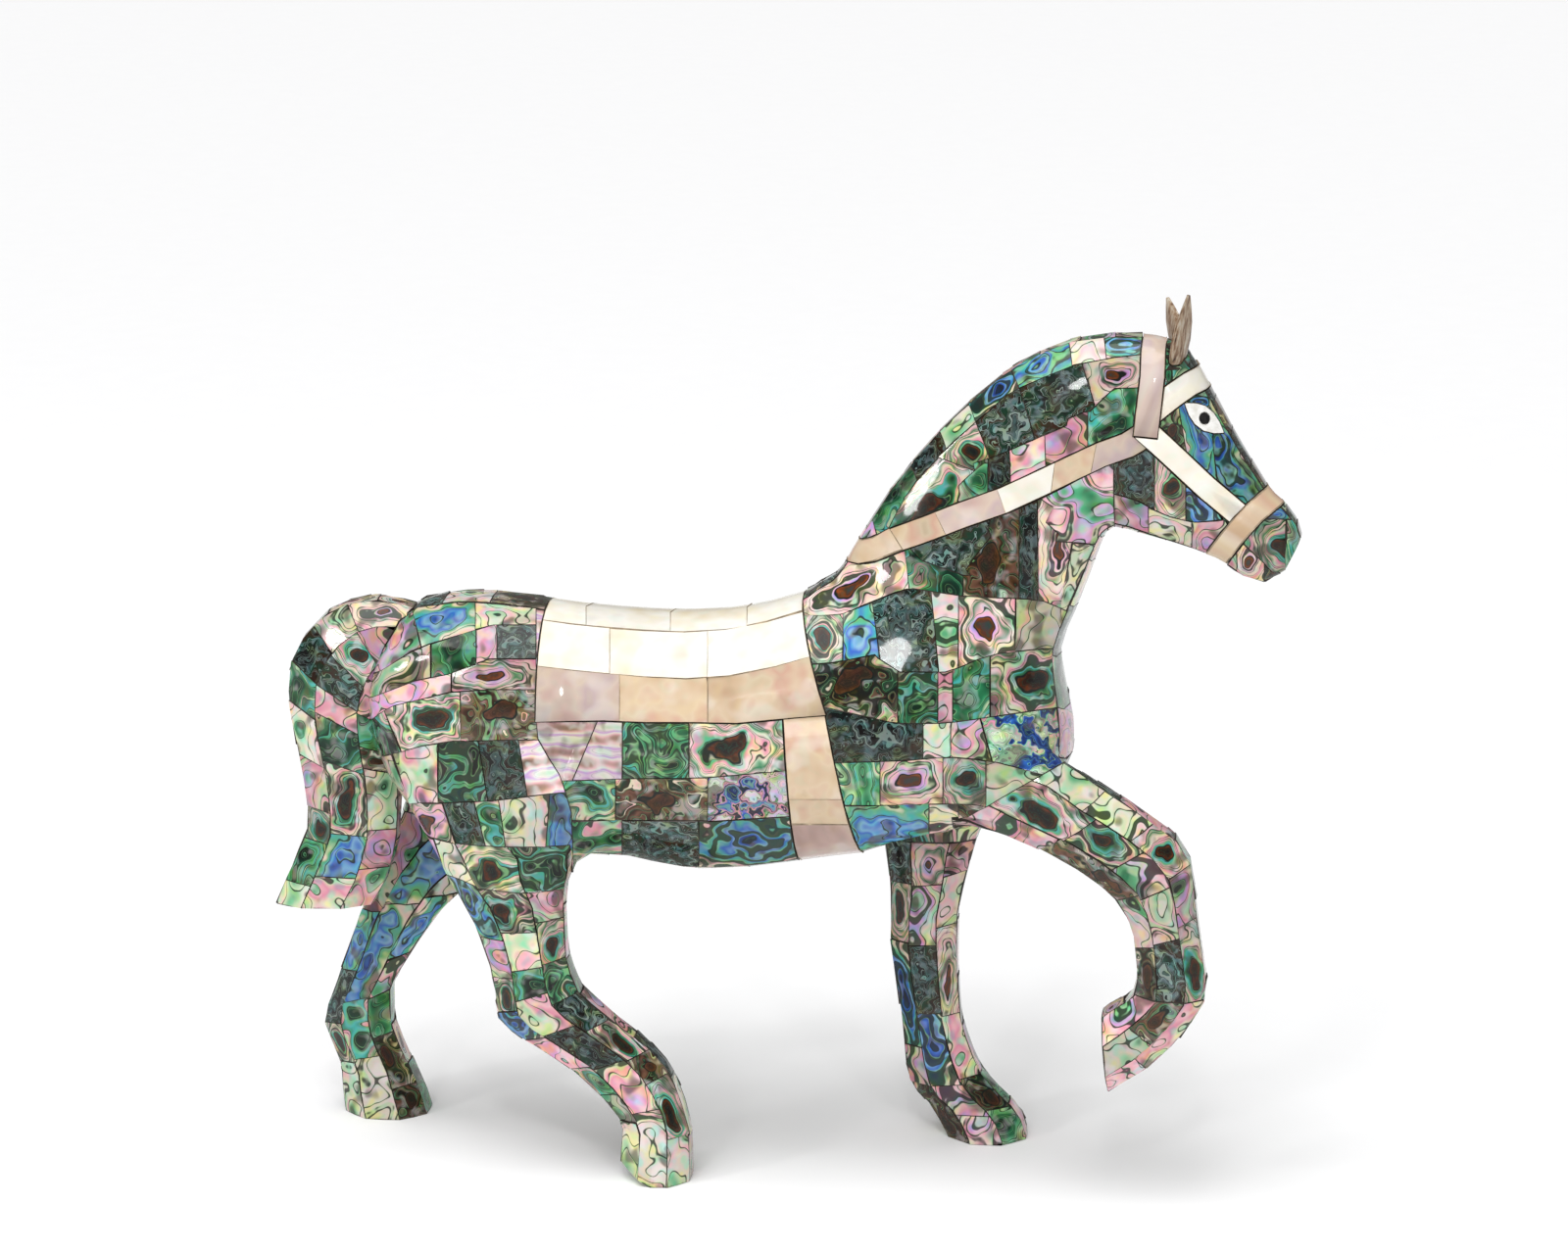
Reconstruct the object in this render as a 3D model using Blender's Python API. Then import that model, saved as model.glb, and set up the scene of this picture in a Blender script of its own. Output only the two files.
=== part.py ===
"""Standing horse inlaid with shell: trotting pose, saddle blanket, girth, reins and bridle."""
import math

import bmesh
import bpy
import numpy as np
from mathutils import Vector

# Driving dimensions, in metres
HORSE_LENGTH = 0.306
SHELL_THICKNESS = 0.0010
JOINT_GAP = 0.0003
REIN_WIDTH = 0.0072
BRIDLE_WIDTH = 0.0068
GIRTH_WIDTH = 0.0132
EYE_LENGTH = 0.0150
EYE_HEIGHT = 0.0066
PUPIL_DIAMETER = 0.0032
EAR_WIDTH = 0.0078
EAR_THICKNESS = 0.0040
EAR_SEAT_DEPTH = 0.0012
NEAR_HIND_TRACK = 0.0220
NEAR_FORE_TRACK = 0.0215
FAR_HIND_TRACK = 0.0240
FAR_FORE_TRACK = 0.0225

# The pose is drawn in shares: the horse is 102.2 shares from tail tip to nose
SHARE = HORSE_LENGTH / 102.2

# Section lines round the body in degrees, from the middle of the back down the near side to the belly
SECTION_ANGLES = (90, 78, 66, 52, 38.8, 28.5, 18.7, 6, -7, -17, -27.5, -38, -49.3, -61, -72, -90)

# Stations from rump to nose: top x and z, bottom x and z, half width, squareness, narrowing upward
SPINE = (
    (-40.9, 49.6, -40.9, 44.6, 3.4, 2.0, 0.0),
    (-40.4, 51.6, -40.4, 41.6, 5.6, 2.1, 0.0),
    (-39.4, 54.0, -39.4, 38.6, 7.2, 2.2, 0.0),
    (-38.0, 56.2, -38.0, 36.0, 8.3, 2.2, 0.0),
    (-36.0, 57.6, -36.0, 34.0, 9.0, 2.2, 0.0),
    (-32.0, 58.4, -32.0, 32.9, 9.7, 2.2, 0.0),
    (-28.0, 58.3, -28.0, 32.7, 10.0, 2.2, 0.0),
    (-24.0, 57.9, -24.0, 32.6, 9.9, 2.2, 0.0),
    (-20.0, 57.4, -20.0, 32.5, 9.8, 2.2, 0.0),
    (-15.0, 57.1, -15.0, 32.0, 9.8, 2.2, 0.0),
    (-9.5, 57.0, -9.5, 31.0, 9.9, 2.2, 0.0),
    (-4.0, 57.6, -3.0, 31.3, 9.9, 2.2, 0.02),
    (1.6, 59.2, 4.2, 32.6, 9.9, 2.2, 0.08),
    (3.4, 60.4, 12.0, 33.8, 9.9, 2.2, 0.16),
    (4.8, 61.3, 19.5, 34.8, 9.8, 2.2, 0.24),
    (5.8, 62.5, 25.6, 36.6, 9.5, 2.2, 0.30),
    (6.6, 63.9, 29.3, 41.0, 8.9, 2.2, 0.34),
    (7.7, 65.8, 29.1, 45.7, 8.2, 2.2, 0.36),
    (9.3, 68.4, 28.0, 50.1, 7.5, 2.2, 0.36),
    (11.0, 70.9, 27.4, 54.4, 6.8, 2.2, 0.34),
    (13.2, 73.8, 28.7, 58.2, 6.2, 2.2, 0.32),
    (15.7, 76.7, 30.0, 61.8, 5.7, 2.2, 0.28),
    (19.0, 79.8, 31.0, 64.8, 5.3, 2.2, 0.22),
    (22.7, 82.8, 31.5, 66.0, 5.0, 2.3, 0.14),
    (27.8, 85.2, 31.9, 66.4, 4.8, 2.4, 0.08),
    (32.0, 85.8, 32.3, 66.7, 4.7, 2.5, 0.02),
    (35.8, 85.8, 32.8, 66.6, 4.7, 2.6, 0.0),
    (38.9, 84.6, 33.5, 66.5, 4.6, 2.6, 0.0),
    (40.7, 82.0, 34.6, 66.2, 4.5, 2.6, 0.0),
    (42.5, 78.7, 36.3, 65.8, 4.3, 2.6, 0.0),
    (44.1, 75.8, 38.2, 65.3, 4.0, 2.6, 0.0),
    (45.7, 73.2, 40.3, 64.7, 3.7, 2.6, 0.0),
    (47.2, 70.9, 42.4, 63.8, 3.4, 2.5, 0.0),
    (48.6, 69.6, 44.6, 62.2, 3.3, 2.4, 0.0),
    (49.7, 68.2, 46.8, 61.7, 3.1, 2.3, 0.0),
    (50.4, 66.6, 48.6, 62.9, 2.5, 2.2, 0.0),
)
FIRST_WIDE_STATION = 11
BLEND_REACH = 5
BLEND_PASSES = 12
HELD_FROM = 9.0
HELD_TO = 12.5

# Legs: rear x and z, front x and z, half width; the last entry is the sole
NEAR_HIND = (
    (-37.2, 34.4, -19.4, 33.6, 4.4),
    (-34.3, 31.4, -19.9, 31.2, 4.2),
    (-31.6, 28.7, -20.2, 28.8, 3.9),
    (-29.6, 25.7, -20.5, 26.2, 3.6),
    (-28.4, 22.2, -20.5, 23.6, 3.3),
    (-28.0, 19.5, -20.3, 21.9, 3.1),
    (-27.8, 17.0, -19.5, 20.1, 3.1),
    (-26.5, 15.5, -18.2, 18.8, 3.0),
    (-24.2, 14.2, -16.4, 17.3, 2.7),
    (-21.8, 12.6, -14.1, 15.6, 2.6),
    (-19.8, 11.2, -12.3, 14.1, 2.6),
    (-18.2, 9.7, -11.0, 12.7, 2.7),
    (-16.9, 8.4, -9.9, 10.6, 2.8),
    (-15.8, 7.0, -9.1, 8.4, 2.8),
    (-15.3, 5.8, -8.6, 6.1, 2.9),
    (-15.6, 3.9, -8.4, 3.0, 3.4),
    (-15.7, 2.4, -8.6, -1.6, 3.6),
)
FAR_HIND = (
    (-38.6, 35.0, -23.6, 32.0, 4.3),
    (-41.8, 30.8, -28.2, 28.8, 4.1),
    (-44.2, 26.2, -33.0, 25.8, 3.9),
    (-45.6, 21.4, -36.4, 22.4, 3.6),
    (-46.3, 17.9, -38.5, 19.4, 3.3),
    (-47.2, 14.9, -40.3, 16.4, 3.1),
    (-48.3, 12.2, -41.6, 14.0, 3.1),
    (-48.6, 10.2, -41.6, 11.9, 3.0),
    (-48.2, 8.6, -41.4, 9.8, 2.7),
    (-47.4, 6.5, -40.7, 7.8, 2.7),
    (-46.9, 4.7, -39.7, 5.8, 2.8),
    (-47.0, 3.0, -38.9, 4.0, 3.1),
    (-46.8, 1.0, -38.1, 1.7, 3.5),
    (-46.2, -1.0, -37.6, -1.0, 3.6),
)
FAR_FORE = (
    (8.2, 33.2, 21.4, 34.0, 3.9),
    (8.6, 31.0, 19.5, 32.0, 3.7),
    (9.3, 28.9, 18.6, 29.8, 3.5),
    (9.9, 26.6, 17.8, 27.3, 3.3),
    (10.0, 24.2, 17.2, 24.8, 3.1),
    (10.1, 21.3, 17.0, 21.7, 2.9),
    (10.4, 18.9, 17.1, 18.9, 2.8),
    (10.9, 16.0, 17.2, 16.1, 2.6),
    (11.3, 13.2, 17.5, 13.3, 2.5),
    (11.6, 10.7, 18.0, 11.1, 2.5),
    (11.8, 8.6, 18.7, 9.2, 2.6),
    (12.1, 6.5, 19.8, 7.2, 2.8),
    (12.9, 5.1, 21.3, 5.3, 2.9),
    (14.2, 4.1, 22.7, 4.0, 3.1),
    (15.1, 2.7, 23.9, 2.6, 3.4),
    (16.0, 1.0, 24.4, 1.0, 3.6),
    (16.8, -1.0, 24.0, -1.0, 3.6),
)
NEAR_FORE = (
    (17.4, 37.6, 28.6, 47.0, 4.3),
    (20.4, 37.1, 30.4, 45.4, 4.0),
    (23.8, 36.6, 32.0, 43.2, 3.7),
    (26.6, 35.6, 34.5, 41.4, 3.4),
    (29.2, 34.4, 37.0, 39.5, 3.2),
    (31.4, 33.0, 39.2, 37.7, 3.1),
    (33.2, 31.5, 40.6, 35.4, 3.0),
    (34.4, 29.7, 41.0, 32.6, 2.9),
    (35.1, 27.6, 41.3, 29.6, 2.7),
    (35.4, 25.0, 41.8, 26.6, 2.6),
    (35.5, 22.9, 42.3, 23.6, 2.7),
    (35.2, 21.6, 42.2, 21.3, 2.8),
    (34.4, 20.9, 41.1, 19.0, 2.9),
    (33.5, 20.4, 39.2, 16.5, 3.2),
    (32.8, 20.0, 36.4, 13.9, 3.5),
    (32.2, 19.4, 32.9, 11.6, 3.6),
)

# Tail: outer x and z, inner x and z, half width
TAIL = (
    (-35.2, 56.6, -35.6, 50.5, 2.4),
    (-38.0, 57.4, -37.0, 50.5, 2.8),
    (-41.0, 57.8, -38.0, 50.0, 3.1),
    (-43.6, 57.3, -38.6, 49.2, 3.3),
    (-46.0, 55.9, -39.0, 47.8, 3.4),
    (-48.0, 53.8, -39.2, 46.2, 3.5),
    (-49.3, 51.2, -39.2, 44.6, 3.5),
    (-49.7, 48.2, -39.0, 42.8, 3.4),
    (-49.5, 45.2, -38.8, 41.0, 3.3),
    (-48.9, 42.2, -38.6, 39.0, 3.2),
    (-48.4, 39.2, -38.6, 37.2, 3.1),
    (-48.1, 36.2, -38.7, 35.2, 2.9),
    (-48.1, 33.7, -38.9, 33.2, 2.8),
    (-49.1, 31.4, -39.3, 31.0, 2.9),
    (-50.3, 28.9, -40.0, 28.6, 3.0),
    (-51.6, 25.7, -41.6, 25.9, 2.9),
)

# Places on the body, each as station number and section angle in degrees
BLANKET_REAR_STATION = 7.18
BLANKET_FRONT_LOW_STATION = 12.55
BLANKET_FRONT_TOP_STATION = 12.10
BLANKET_EDGE = ((7.18, 11.5), (8.1, 13.8), (9.0, 16.0), (10.2, 18.0), (11.2, 15.6), (12.55, 11.2))
GIRTH_STATION = 12.12
BLANKET_STEPS = 7
GIRTH_STEPS = 14
REIN_LINE = ((26.4, 3.5), (25.6, -1.0), (24.4, -4.3), (23.2, -5.7), (22.2, -2.5), (21.0, 7.2),
             (19.9, 20.9), (18.9, 33.6), (17.8, 49.0), (17.0, 60.5), (16.45, 71.0), (16.15, 81.0), (16.1, 90.0))
CROWN_LINE = ((26.34, 1.5), (26.22, 14.0), (26.13, 35.2), (26.02, 57.0), (26.0, 75.0), (26.0, 90.0))
BROW_LINE = ((26.3, 12.0), (26.72, 21.2), (27.05, 30.8), (27.5, 48.8), (27.86, 70.0), (28.0, 90.0))
CHEEK_LINE = ((26.1, 5.0), (27.1, 1.6), (28.0, 2.2), (28.87, 3.2), (29.7, 4.0), (31.3, 6.2), (31.8, 6.6))
NOSE_LINE = ((32.35, 90.0), (32.2, 68.0), (32.03, 46.0), (31.86, 22.3), (31.76, 2.5), (31.72, -13.0),
             (31.74, -40.0), (31.8, -66.0), (31.85, -90.0))
EYE_PLACE = (28.48, 41.0)
EYE_TOWARD = (29.5, 58.0)
EYE_SIDES = 14

# Ears in shares: root x, y and z, tip x, y and z on the near side, then on the far side
EAR_RIGHT = (38.0, -2.5, 84.2, 38.9, -3.0, 90.2)
EAR_LEFT = (38.1, 2.5, 84.2, 36.8, 3.2, 88.8)

# The ground cuts the feet at this height in shares
GROUND_HEIGHT = 0.5

# Pocket depths differ a little so that crossing pocket floors never coincide
POCKET_STEP = 0.00016

# Points closer than this are one point
WELD = 0.00002


def clear_scene():
    """Removes whatever the new file starts with."""
    for thing in list(bpy.data.objects):
        bpy.data.objects.remove(thing, do_unlink=True)


def material(name, colour, roughness):
    """A plain Principled material for one kind of surface."""
    made = bpy.data.materials.new(name)
    made.use_nodes = True
    shader = made.node_tree.nodes["Principled BSDF"]
    shader.inputs["Base Color"].default_value = (*colour, 1.0)
    shader.inputs["Roughness"].default_value = roughness
    return made


def new_object(name, points, faces, finish=None):
    """A mesh object from points and faces, all facing outward."""
    mesh = bpy.data.meshes.new(name)
    mesh.from_pydata([tuple(float(c) for c in p) for p in points], [], [tuple(f) for f in faces])
    work = bmesh.new()
    work.from_mesh(mesh)
    bmesh.ops.recalc_face_normals(work, faces=work.faces[:])
    work.to_mesh(mesh)
    work.free()
    made = bpy.data.objects.new(name, mesh)
    bpy.context.scene.collection.objects.link(made)
    if finish is not None:
        mesh.materials.append(finish)
    return made


def smooth_value(rows, at):
    """The row of numbers at a broken station number, by a smooth curve through the rows."""
    last = len(rows) - 1
    at = min(max(at, 0.0), float(last))
    low = min(int(math.floor(at)), last - 1)
    part = at - low
    before = rows[max(low - 1, 0)]
    start = rows[low]
    end = rows[low + 1]
    after = rows[min(low + 2, last)]
    square = part * part
    cube = square * part
    return 0.5 * (2 * start + (end - before) * part
                  + (2 * before - 5 * start + 4 * end - after) * square
                  + (3 * start - before - 3 * end + after) * cube)


SPINE_ROWS = np.array(SPINE, dtype=float)


def spine_point(station, angle):
    """A point on the body's surface, in metres before the ground shift."""
    top_x, top_z, low_x, low_z, half, square, narrow = smooth_value(SPINE_ROWS, station)
    turn = math.radians(angle)
    side = math.copysign(abs(math.cos(turn)) ** (2 / square), math.cos(turn))
    rise = math.copysign(abs(math.sin(turn)) ** (2 / square), math.sin(turn))
    x = (top_x + low_x) / 2 + (top_x - low_x) / 2 * rise
    z = (top_z + low_z) / 2 + (top_z - low_z) / 2 * rise
    y = -half * side * (1 - narrow * rise)
    return np.array((x, y, z)) * SHARE


def spine_slopes(station, angle):
    """How the surface point moves along the stations and round the section."""
    along = (spine_point(station + 0.05, angle) - spine_point(station - 0.05, angle)) / 0.1
    around = (spine_point(station, angle + 1.0) - spine_point(station, angle - 1.0)) / 2.0
    return along, around


def surface(station, angle, lift=0.0):
    """A point lifted off the body's surface along its outward direction."""
    along, around = spine_slopes(station, angle)
    outward = np.cross(around, along)
    outward /= np.linalg.norm(outward)
    centre = (spine_point(station, 90.0) + spine_point(station, -90.0)) / 2
    if np.dot(outward, spine_point(station, angle) - centre) < 0:
        outward = -outward
    return spine_point(station, angle) + outward * lift


def full_turn(angles):
    """Near-side angles followed by their mirror images on the far side."""
    return list(angles) + [180.0 - a for a in reversed(angles[1:-1])]


def leg_ring(row, track, corner_trim=0.97):
    """Sixteen points of an eight-sided leg section, starting at the front."""
    rear_x, rear_z, front_x, front_z, half = row
    centre = np.array(((rear_x + front_x) / 2 * SHARE, track, (rear_z + front_z) / 2 * SHARE))
    reach = np.array(((front_x - rear_x) / 2 * SHARE, 0.0, (front_z - rear_z) / 2 * SHARE))
    wide = np.array((0.0, half * SHARE, 0.0))
    ring = []
    for step in range(16):
        turn = math.radians(22.5 * step)
        spread = 1.0 / max(abs(math.cos(turn)), abs(math.sin(turn)),
                           (abs(math.cos(turn)) + abs(math.sin(turn))) / math.sqrt(2))
        if step % 2:
            spread *= corner_trim
        ring.append(centre + reach * math.cos(turn) * spread + wide * math.sin(turn) * spread)
    return ring


def with_between(rows, steps):
    """The rows with smooth ones put in between."""
    rows = np.array(rows, dtype=float)
    count = (len(rows) - 1) * steps + 1
    return [smooth_value(rows, i / steps) for i in range(count)]


class Shape:
    """Points and faces of the body as it grows."""

    def __init__(self):
        self.points = []
        self.faces = []

    def add_ring(self, ring):
        first = len(self.points)
        self.points.extend(ring)
        return list(range(first, first + len(ring)))

    def join(self, one, two):
        count = len(one)
        for k in range(count):
            nxt = (k + 1) % count
            self.faces.append((one[k], one[nxt], two[nxt], two[k]))

    def neighbours(self):
        found = [set() for _ in self.points]
        for face in self.faces:
            for a, b in zip(face, face[1:] + face[:1]):
                found[a].add(b)
                found[b].add(a)
        return found

    def relax(self, seeds, reach, passes, held):
        """Evens the surface round the seeds, less and less up to the reach in steps, but not where it is held."""
        near = self.neighbours()
        away = {v: 0 for v in seeds}
        edge = list(seeds)
        for step in range(1, reach):
            edge = [n for v in edge for n in near[v] if n not in away]
            for v in edge:
                away[v] = step
        for _ in range(passes):
            moved = {}
            for v, step in away.items():
                if v in held or not near[v]:
                    continue
                mean = sum(self.points[n] for n in near[v]) / len(near[v])
                moved[v] = self.points[v] + (mean - self.points[v]) * 0.5 * (1 - step / reach)
            for v, p in moved.items():
                self.points[v] = p


def ring_stations():
    """Station numbers of the body's rings: closer where the neck and legs turn."""
    count = len(SPINE)
    stations = []
    for k in range(count - 1):
        stations.append(float(k))
        if FIRST_WIDE_STATION <= k < 24 or k in (9, 10):
            stations.append(k + 0.5)
    stations.append(float(count - 1))
    return stations


def build_body():
    """Trunk, neck and head as one skin, with four legs grown out of it."""
    shape = Shape()
    angles = full_turn(SECTION_ANGLES)
    columns = len(angles)
    stations = ring_stations()
    rings = [shape.add_ring([spine_point(s, a) for a in angles]) for s in stations]
    strapped = {v for s, ring in zip(stations, rings) if HELD_FROM <= s <= HELD_TO for v in ring}

    legs = (
        (NEAR_HIND, -NEAR_HIND_TRACK, 4.0, False),
        (FAR_HIND, FAR_HIND_TRACK, 3.0, True),
        (NEAR_FORE, -NEAR_FORE_TRACK, 14.0, False),
        (FAR_FORE, FAR_FORE_TRACK, 12.5, True),
    )
    upper = SECTION_ANGLES.index(-17)
    open_faces = set()
    roots = []
    for rows, track, first_station, far in legs:
        first = stations.index(first_station)
        ring_ids = list(range(first, first + 5))
        if far:
            column_ids = [columns - upper - k for k in range(5)]
        else:
            column_ids = [upper + k for k in range(5)]
        low = min(column_ids)
        for r in ring_ids[:-1]:
            for c in range(low, low + 4):
                open_faces.add((r, c))
        loop = [rings[ring_ids[0]][c] for c in column_ids]
        loop += [rings[r][column_ids[-1]] for r in ring_ids[1:]]
        loop += [rings[ring_ids[-1]][c] for c in reversed(column_ids[:-1])]
        loop += [rings[r][column_ids[0]] for r in reversed(ring_ids[1:-1])]
        roots.append((rows, track, loop))

    for r in range(len(rings) - 1):
        for c in range(columns):
            if (r, c) in open_faces:
                continue
            nxt = (c + 1) % columns
            shape.faces.append((rings[r][c], rings[r][nxt], rings[r + 1][nxt], rings[r + 1][c]))
    shape.faces.append(tuple(rings[0]))
    shape.faces.append(tuple(rings[-1]))

    for rows, track, loop in roots:
        leg = [leg_ring(row, track) for row in rows]
        ids = [shape.add_ring(ring) for ring in leg]
        best = None
        for way in (1, -1):
            for start in range(16):
                order = [(start + way * k) % 16 for k in range(16)]
                cost = sum(float(np.sum((shape.points[v] - leg[0][o]) ** 2)) for v, o in zip(loop, order))
                if best is None or cost < best[0]:
                    best = (cost, order)
        order = best[1]
        shape.join(loop, [ids[0][o] for o in order])
        for one, two in zip(ids, ids[1:]):
            shape.join(one, two)
        shape.faces.append(tuple(ids[-1]))
        shape.relax(loop + ids[0], BLEND_REACH, BLEND_PASSES, strapped)

    used = sorted({v for face in shape.faces for v in face})
    place = {v: k for k, v in enumerate(used)}
    points = [shape.points[v] for v in used]
    faces = [tuple(place[v] for v in face) for face in shape.faces]
    return new_object("horse_body", points, faces)


def build_tail():
    """The tail as a solid of its own, to be joined to the rump."""
    shape = Shape()
    ids = [shape.add_ring(leg_ring(row, 0.0)) for row in TAIL]
    shape.faces.append(tuple(ids[0]))
    for one, two in zip(ids, ids[1:]):
        shape.join(one, two)
    shape.faces.append(tuple(ids[-1]))
    return new_object("tail", shape.points, shape.faces)


def box(name, low, high):
    """A plain box between two corners."""
    points = [(x, y, z) for x in (low[0], high[0]) for y in (low[1], high[1]) for z in (low[2], high[2])]
    faces = [(0, 1, 3, 2), (4, 6, 7, 5), (0, 4, 5, 1), (2, 3, 7, 6), (0, 2, 6, 4), (1, 5, 7, 3)]
    return new_object(name, points, faces)


def combine(target, tool, operation):
    """Joins or cuts with an exact Boolean and removes the tool."""
    step = target.modifiers.new("step", "BOOLEAN")
    step.operation = operation
    step.solver = "EXACT"
    step.object = tool
    deps = bpy.context.evaluated_depsgraph_get()
    result = bpy.data.meshes.new_from_object(target.evaluated_get(deps))
    target.modifiers.clear()
    old = target.data
    target.data = result
    bpy.data.meshes.remove(old)
    bpy.data.objects.remove(tool, do_unlink=True)
    work = bmesh.new()
    work.from_mesh(result)
    bmesh.ops.remove_doubles(work, verts=work.verts[:], dist=WELD)
    bmesh.ops.dissolve_degenerate(work, edges=work.edges[:], dist=WELD)
    work.to_mesh(result)
    work.free()


def drop_crumbs(thing):
    """Removes the specks that crossing pockets leave, smaller than a cubic millimetre."""
    work = bmesh.new()
    work.from_mesh(thing.data)
    bmesh.ops.triangulate(work, faces=work.faces[:])
    bmesh.ops.remove_doubles(work, verts=work.verts[:], dist=WELD)
    bmesh.ops.dissolve_degenerate(work, edges=work.edges[:], dist=WELD)
    waiting = set(work.faces)
    groups = []
    while waiting:
        edge = [waiting.pop()]
        group = list(edge)
        while edge:
            face = edge.pop()
            for side in face.edges:
                if len(side.link_faces) != 2:
                    continue
                for other in side.link_faces:
                    if other in waiting:
                        waiting.remove(other)
                        edge.append(other)
                        group.append(other)
        groups.append(group)
    groups.sort(key=len)
    for group in groups[:-1]:
        bmesh.ops.delete(work, geom=group, context="FACES")
    work.to_mesh(thing.data)
    work.free()


def copy_of(thing, name):
    """An independent copy of an object and its mesh."""
    made = bpy.data.objects.new(name, thing.data.copy())
    bpy.context.scene.collection.objects.link(made)
    return made


def cut(target, tool):
    """Cuts the tool's shape out of the target and leaves the tool as it is."""
    combine(target, copy_of(tool, "tool"), "DIFFERENCE")


def slab(name, places, low, high, closed=False, finish=None):
    """A curved plate that follows the body between two lifts, over a grid of places."""
    rows = len(places)
    across = len(places[0])
    upper = [surface(s, a, high) for row in places for s, a in row]
    under = [surface(s, a, low) for row in places for s, a in row]
    shift = rows * across
    faces = []
    last = rows if closed else rows - 1
    for r in range(last):
        n = (r + 1) % rows
        for c in range(across - 1):
            quad = (r * across + c, r * across + c + 1, n * across + c + 1, n * across + c)
            faces.append(quad)
            faces.append(tuple(v + shift for v in reversed(quad)))
        for c in (0, across - 1):
            faces.append((r * across + c, n * across + c, n * across + c + shift, r * across + c + shift))
    if not closed:
        for r in (0, rows - 1):
            for c in range(across - 1):
                one = r * across + c
                faces.append((one, one + 1, one + 1 + shift, one + shift))
    return new_object(name, upper + under, faces, finish)


def beside(station, angle, offset):
    """The place on the body a small step away, given as a vector in metres."""
    for _ in range(2):
        along, around = spine_slopes(station, angle)
        step = np.linalg.lstsq(np.stack((along, around), axis=1), offset, rcond=None)[0]
        goal = spine_point(station, angle) + offset
        guess = (station + step[0], angle + step[1])
        miss = goal - spine_point(*guess)
        along, around = spine_slopes(*guess)
        more = np.linalg.lstsq(np.stack((along, around), axis=1), miss, rcond=None)[0]
    return guess[0] + more[0], guess[1] + more[1]


def strip_places(line, width, steps, over_top=True, closed=False, longer=0.0):
    """A grid of places along a line on the body, as wide as asked."""
    line = [tuple(p) for p in line]
    if over_top:
        line = line + [(s, 180.0 - a) for s, a in reversed(line[:-1])]
    if closed:
        line = line + [(s, -180.0 - a) for s, a in reversed(line[1:-1])]
        rows = np.array([line[-1]] + line + line[:2], dtype=float)
        rows[0, 1] += 360.0
        rows[-2:, 1] -= 360.0
        count = len(line) * steps
        path = [smooth_value(rows, 1 + i / steps) for i in range(count)]
    else:
        path = with_between(line, steps)
    points = [spine_point(s, a) for s, a in path]
    places = []
    for i, (s, a) in enumerate(path):
        before = points[i - 1] if i or closed else points[0]
        after = points[(i + 1) % len(points)] if closed else points[min(i + 1, len(points) - 1)]
        forward = after - before
        forward /= np.linalg.norm(forward)
        along, around = spine_slopes(s, a)
        outward = np.cross(around, along)
        outward /= np.linalg.norm(outward)
        side = np.cross(outward, forward)
        side /= np.linalg.norm(side)
        base = (s, a)
        if longer and not closed and i in (0, len(path) - 1):
            base = beside(s, a, forward * (longer if i else -longer))
        places.append([beside(*base, side * width * share / 2) for share in (-1, 0, 1)])
    return places


def strap(name, line, width, steps, finish, depth_steps=0, over_top=True, closed=False):
    """A strap let into the body, with the cutter of its pocket."""
    piece = slab(name, strip_places(line, width, steps, over_top, closed), -SHELL_THICKNESS, 0.0, closed, finish)
    wide = strip_places(line, width + 2 * JOINT_GAP, steps, over_top, closed, JOINT_GAP)
    depth = SHELL_THICKNESS + JOINT_GAP + POCKET_STEP * depth_steps
    cutter = slab(name + "_pocket", wide, -depth, 0.0025, closed)
    return piece, cutter


def blanket_edge(station):
    """The section angle of the blanket's lower edge at a station."""
    rows = np.array(BLANKET_EDGE, dtype=float)
    return float(np.interp(station, rows[:, 0], rows[:, 1]))


def blanket_places(grow):
    """Places of the blanket, with its edges moved out by a distance."""
    places = []
    for i in range(BLANKET_STEPS + 1):
        row = []
        for j in range(2 * BLANKET_STEPS + 1):
            share = j / (2 * BLANKET_STEPS)
            height = math.sin(math.pi * share)
            front = BLANKET_FRONT_LOW_STATION + (BLANKET_FRONT_TOP_STATION - BLANKET_FRONT_LOW_STATION) * height
            station = BLANKET_REAR_STATION + (front - BLANKET_REAR_STATION) * i / BLANKET_STEPS
            low = blanket_edge(station)
            angle = low + (180.0 - 2 * low) * share
            along, around = spine_slopes(station, angle)
            if i in (0, BLANKET_STEPS):
                station += math.copysign(grow / np.linalg.norm(along), i - 1)
            if j in (0, 2 * BLANKET_STEPS):
                angle += math.copysign(grow / np.linalg.norm(around), j - 1)
            row.append((station, angle))
        places.append(row)
    return places


def girth_places(grow):
    """Places of the girth from under the blanket's near edge round the belly to the far edge."""
    along, around = spine_slopes(GIRTH_STATION, 0.0)
    half = (GIRTH_WIDTH / 2 + grow) / np.linalg.norm(along)
    places = []
    for i in range(GIRTH_STEPS + 1):
        row = []
        for j in range(3):
            station = GIRTH_STATION - half + 2 * half * j / 2
            top = blanket_edge(station)
            slope = np.linalg.norm(spine_slopes(station, top)[1])
            top -= (JOINT_GAP - grow) / slope
            row.append((station, top - (180.0 + 2 * top) * i / GIRTH_STEPS))
        places.append(row)
    return places


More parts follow.
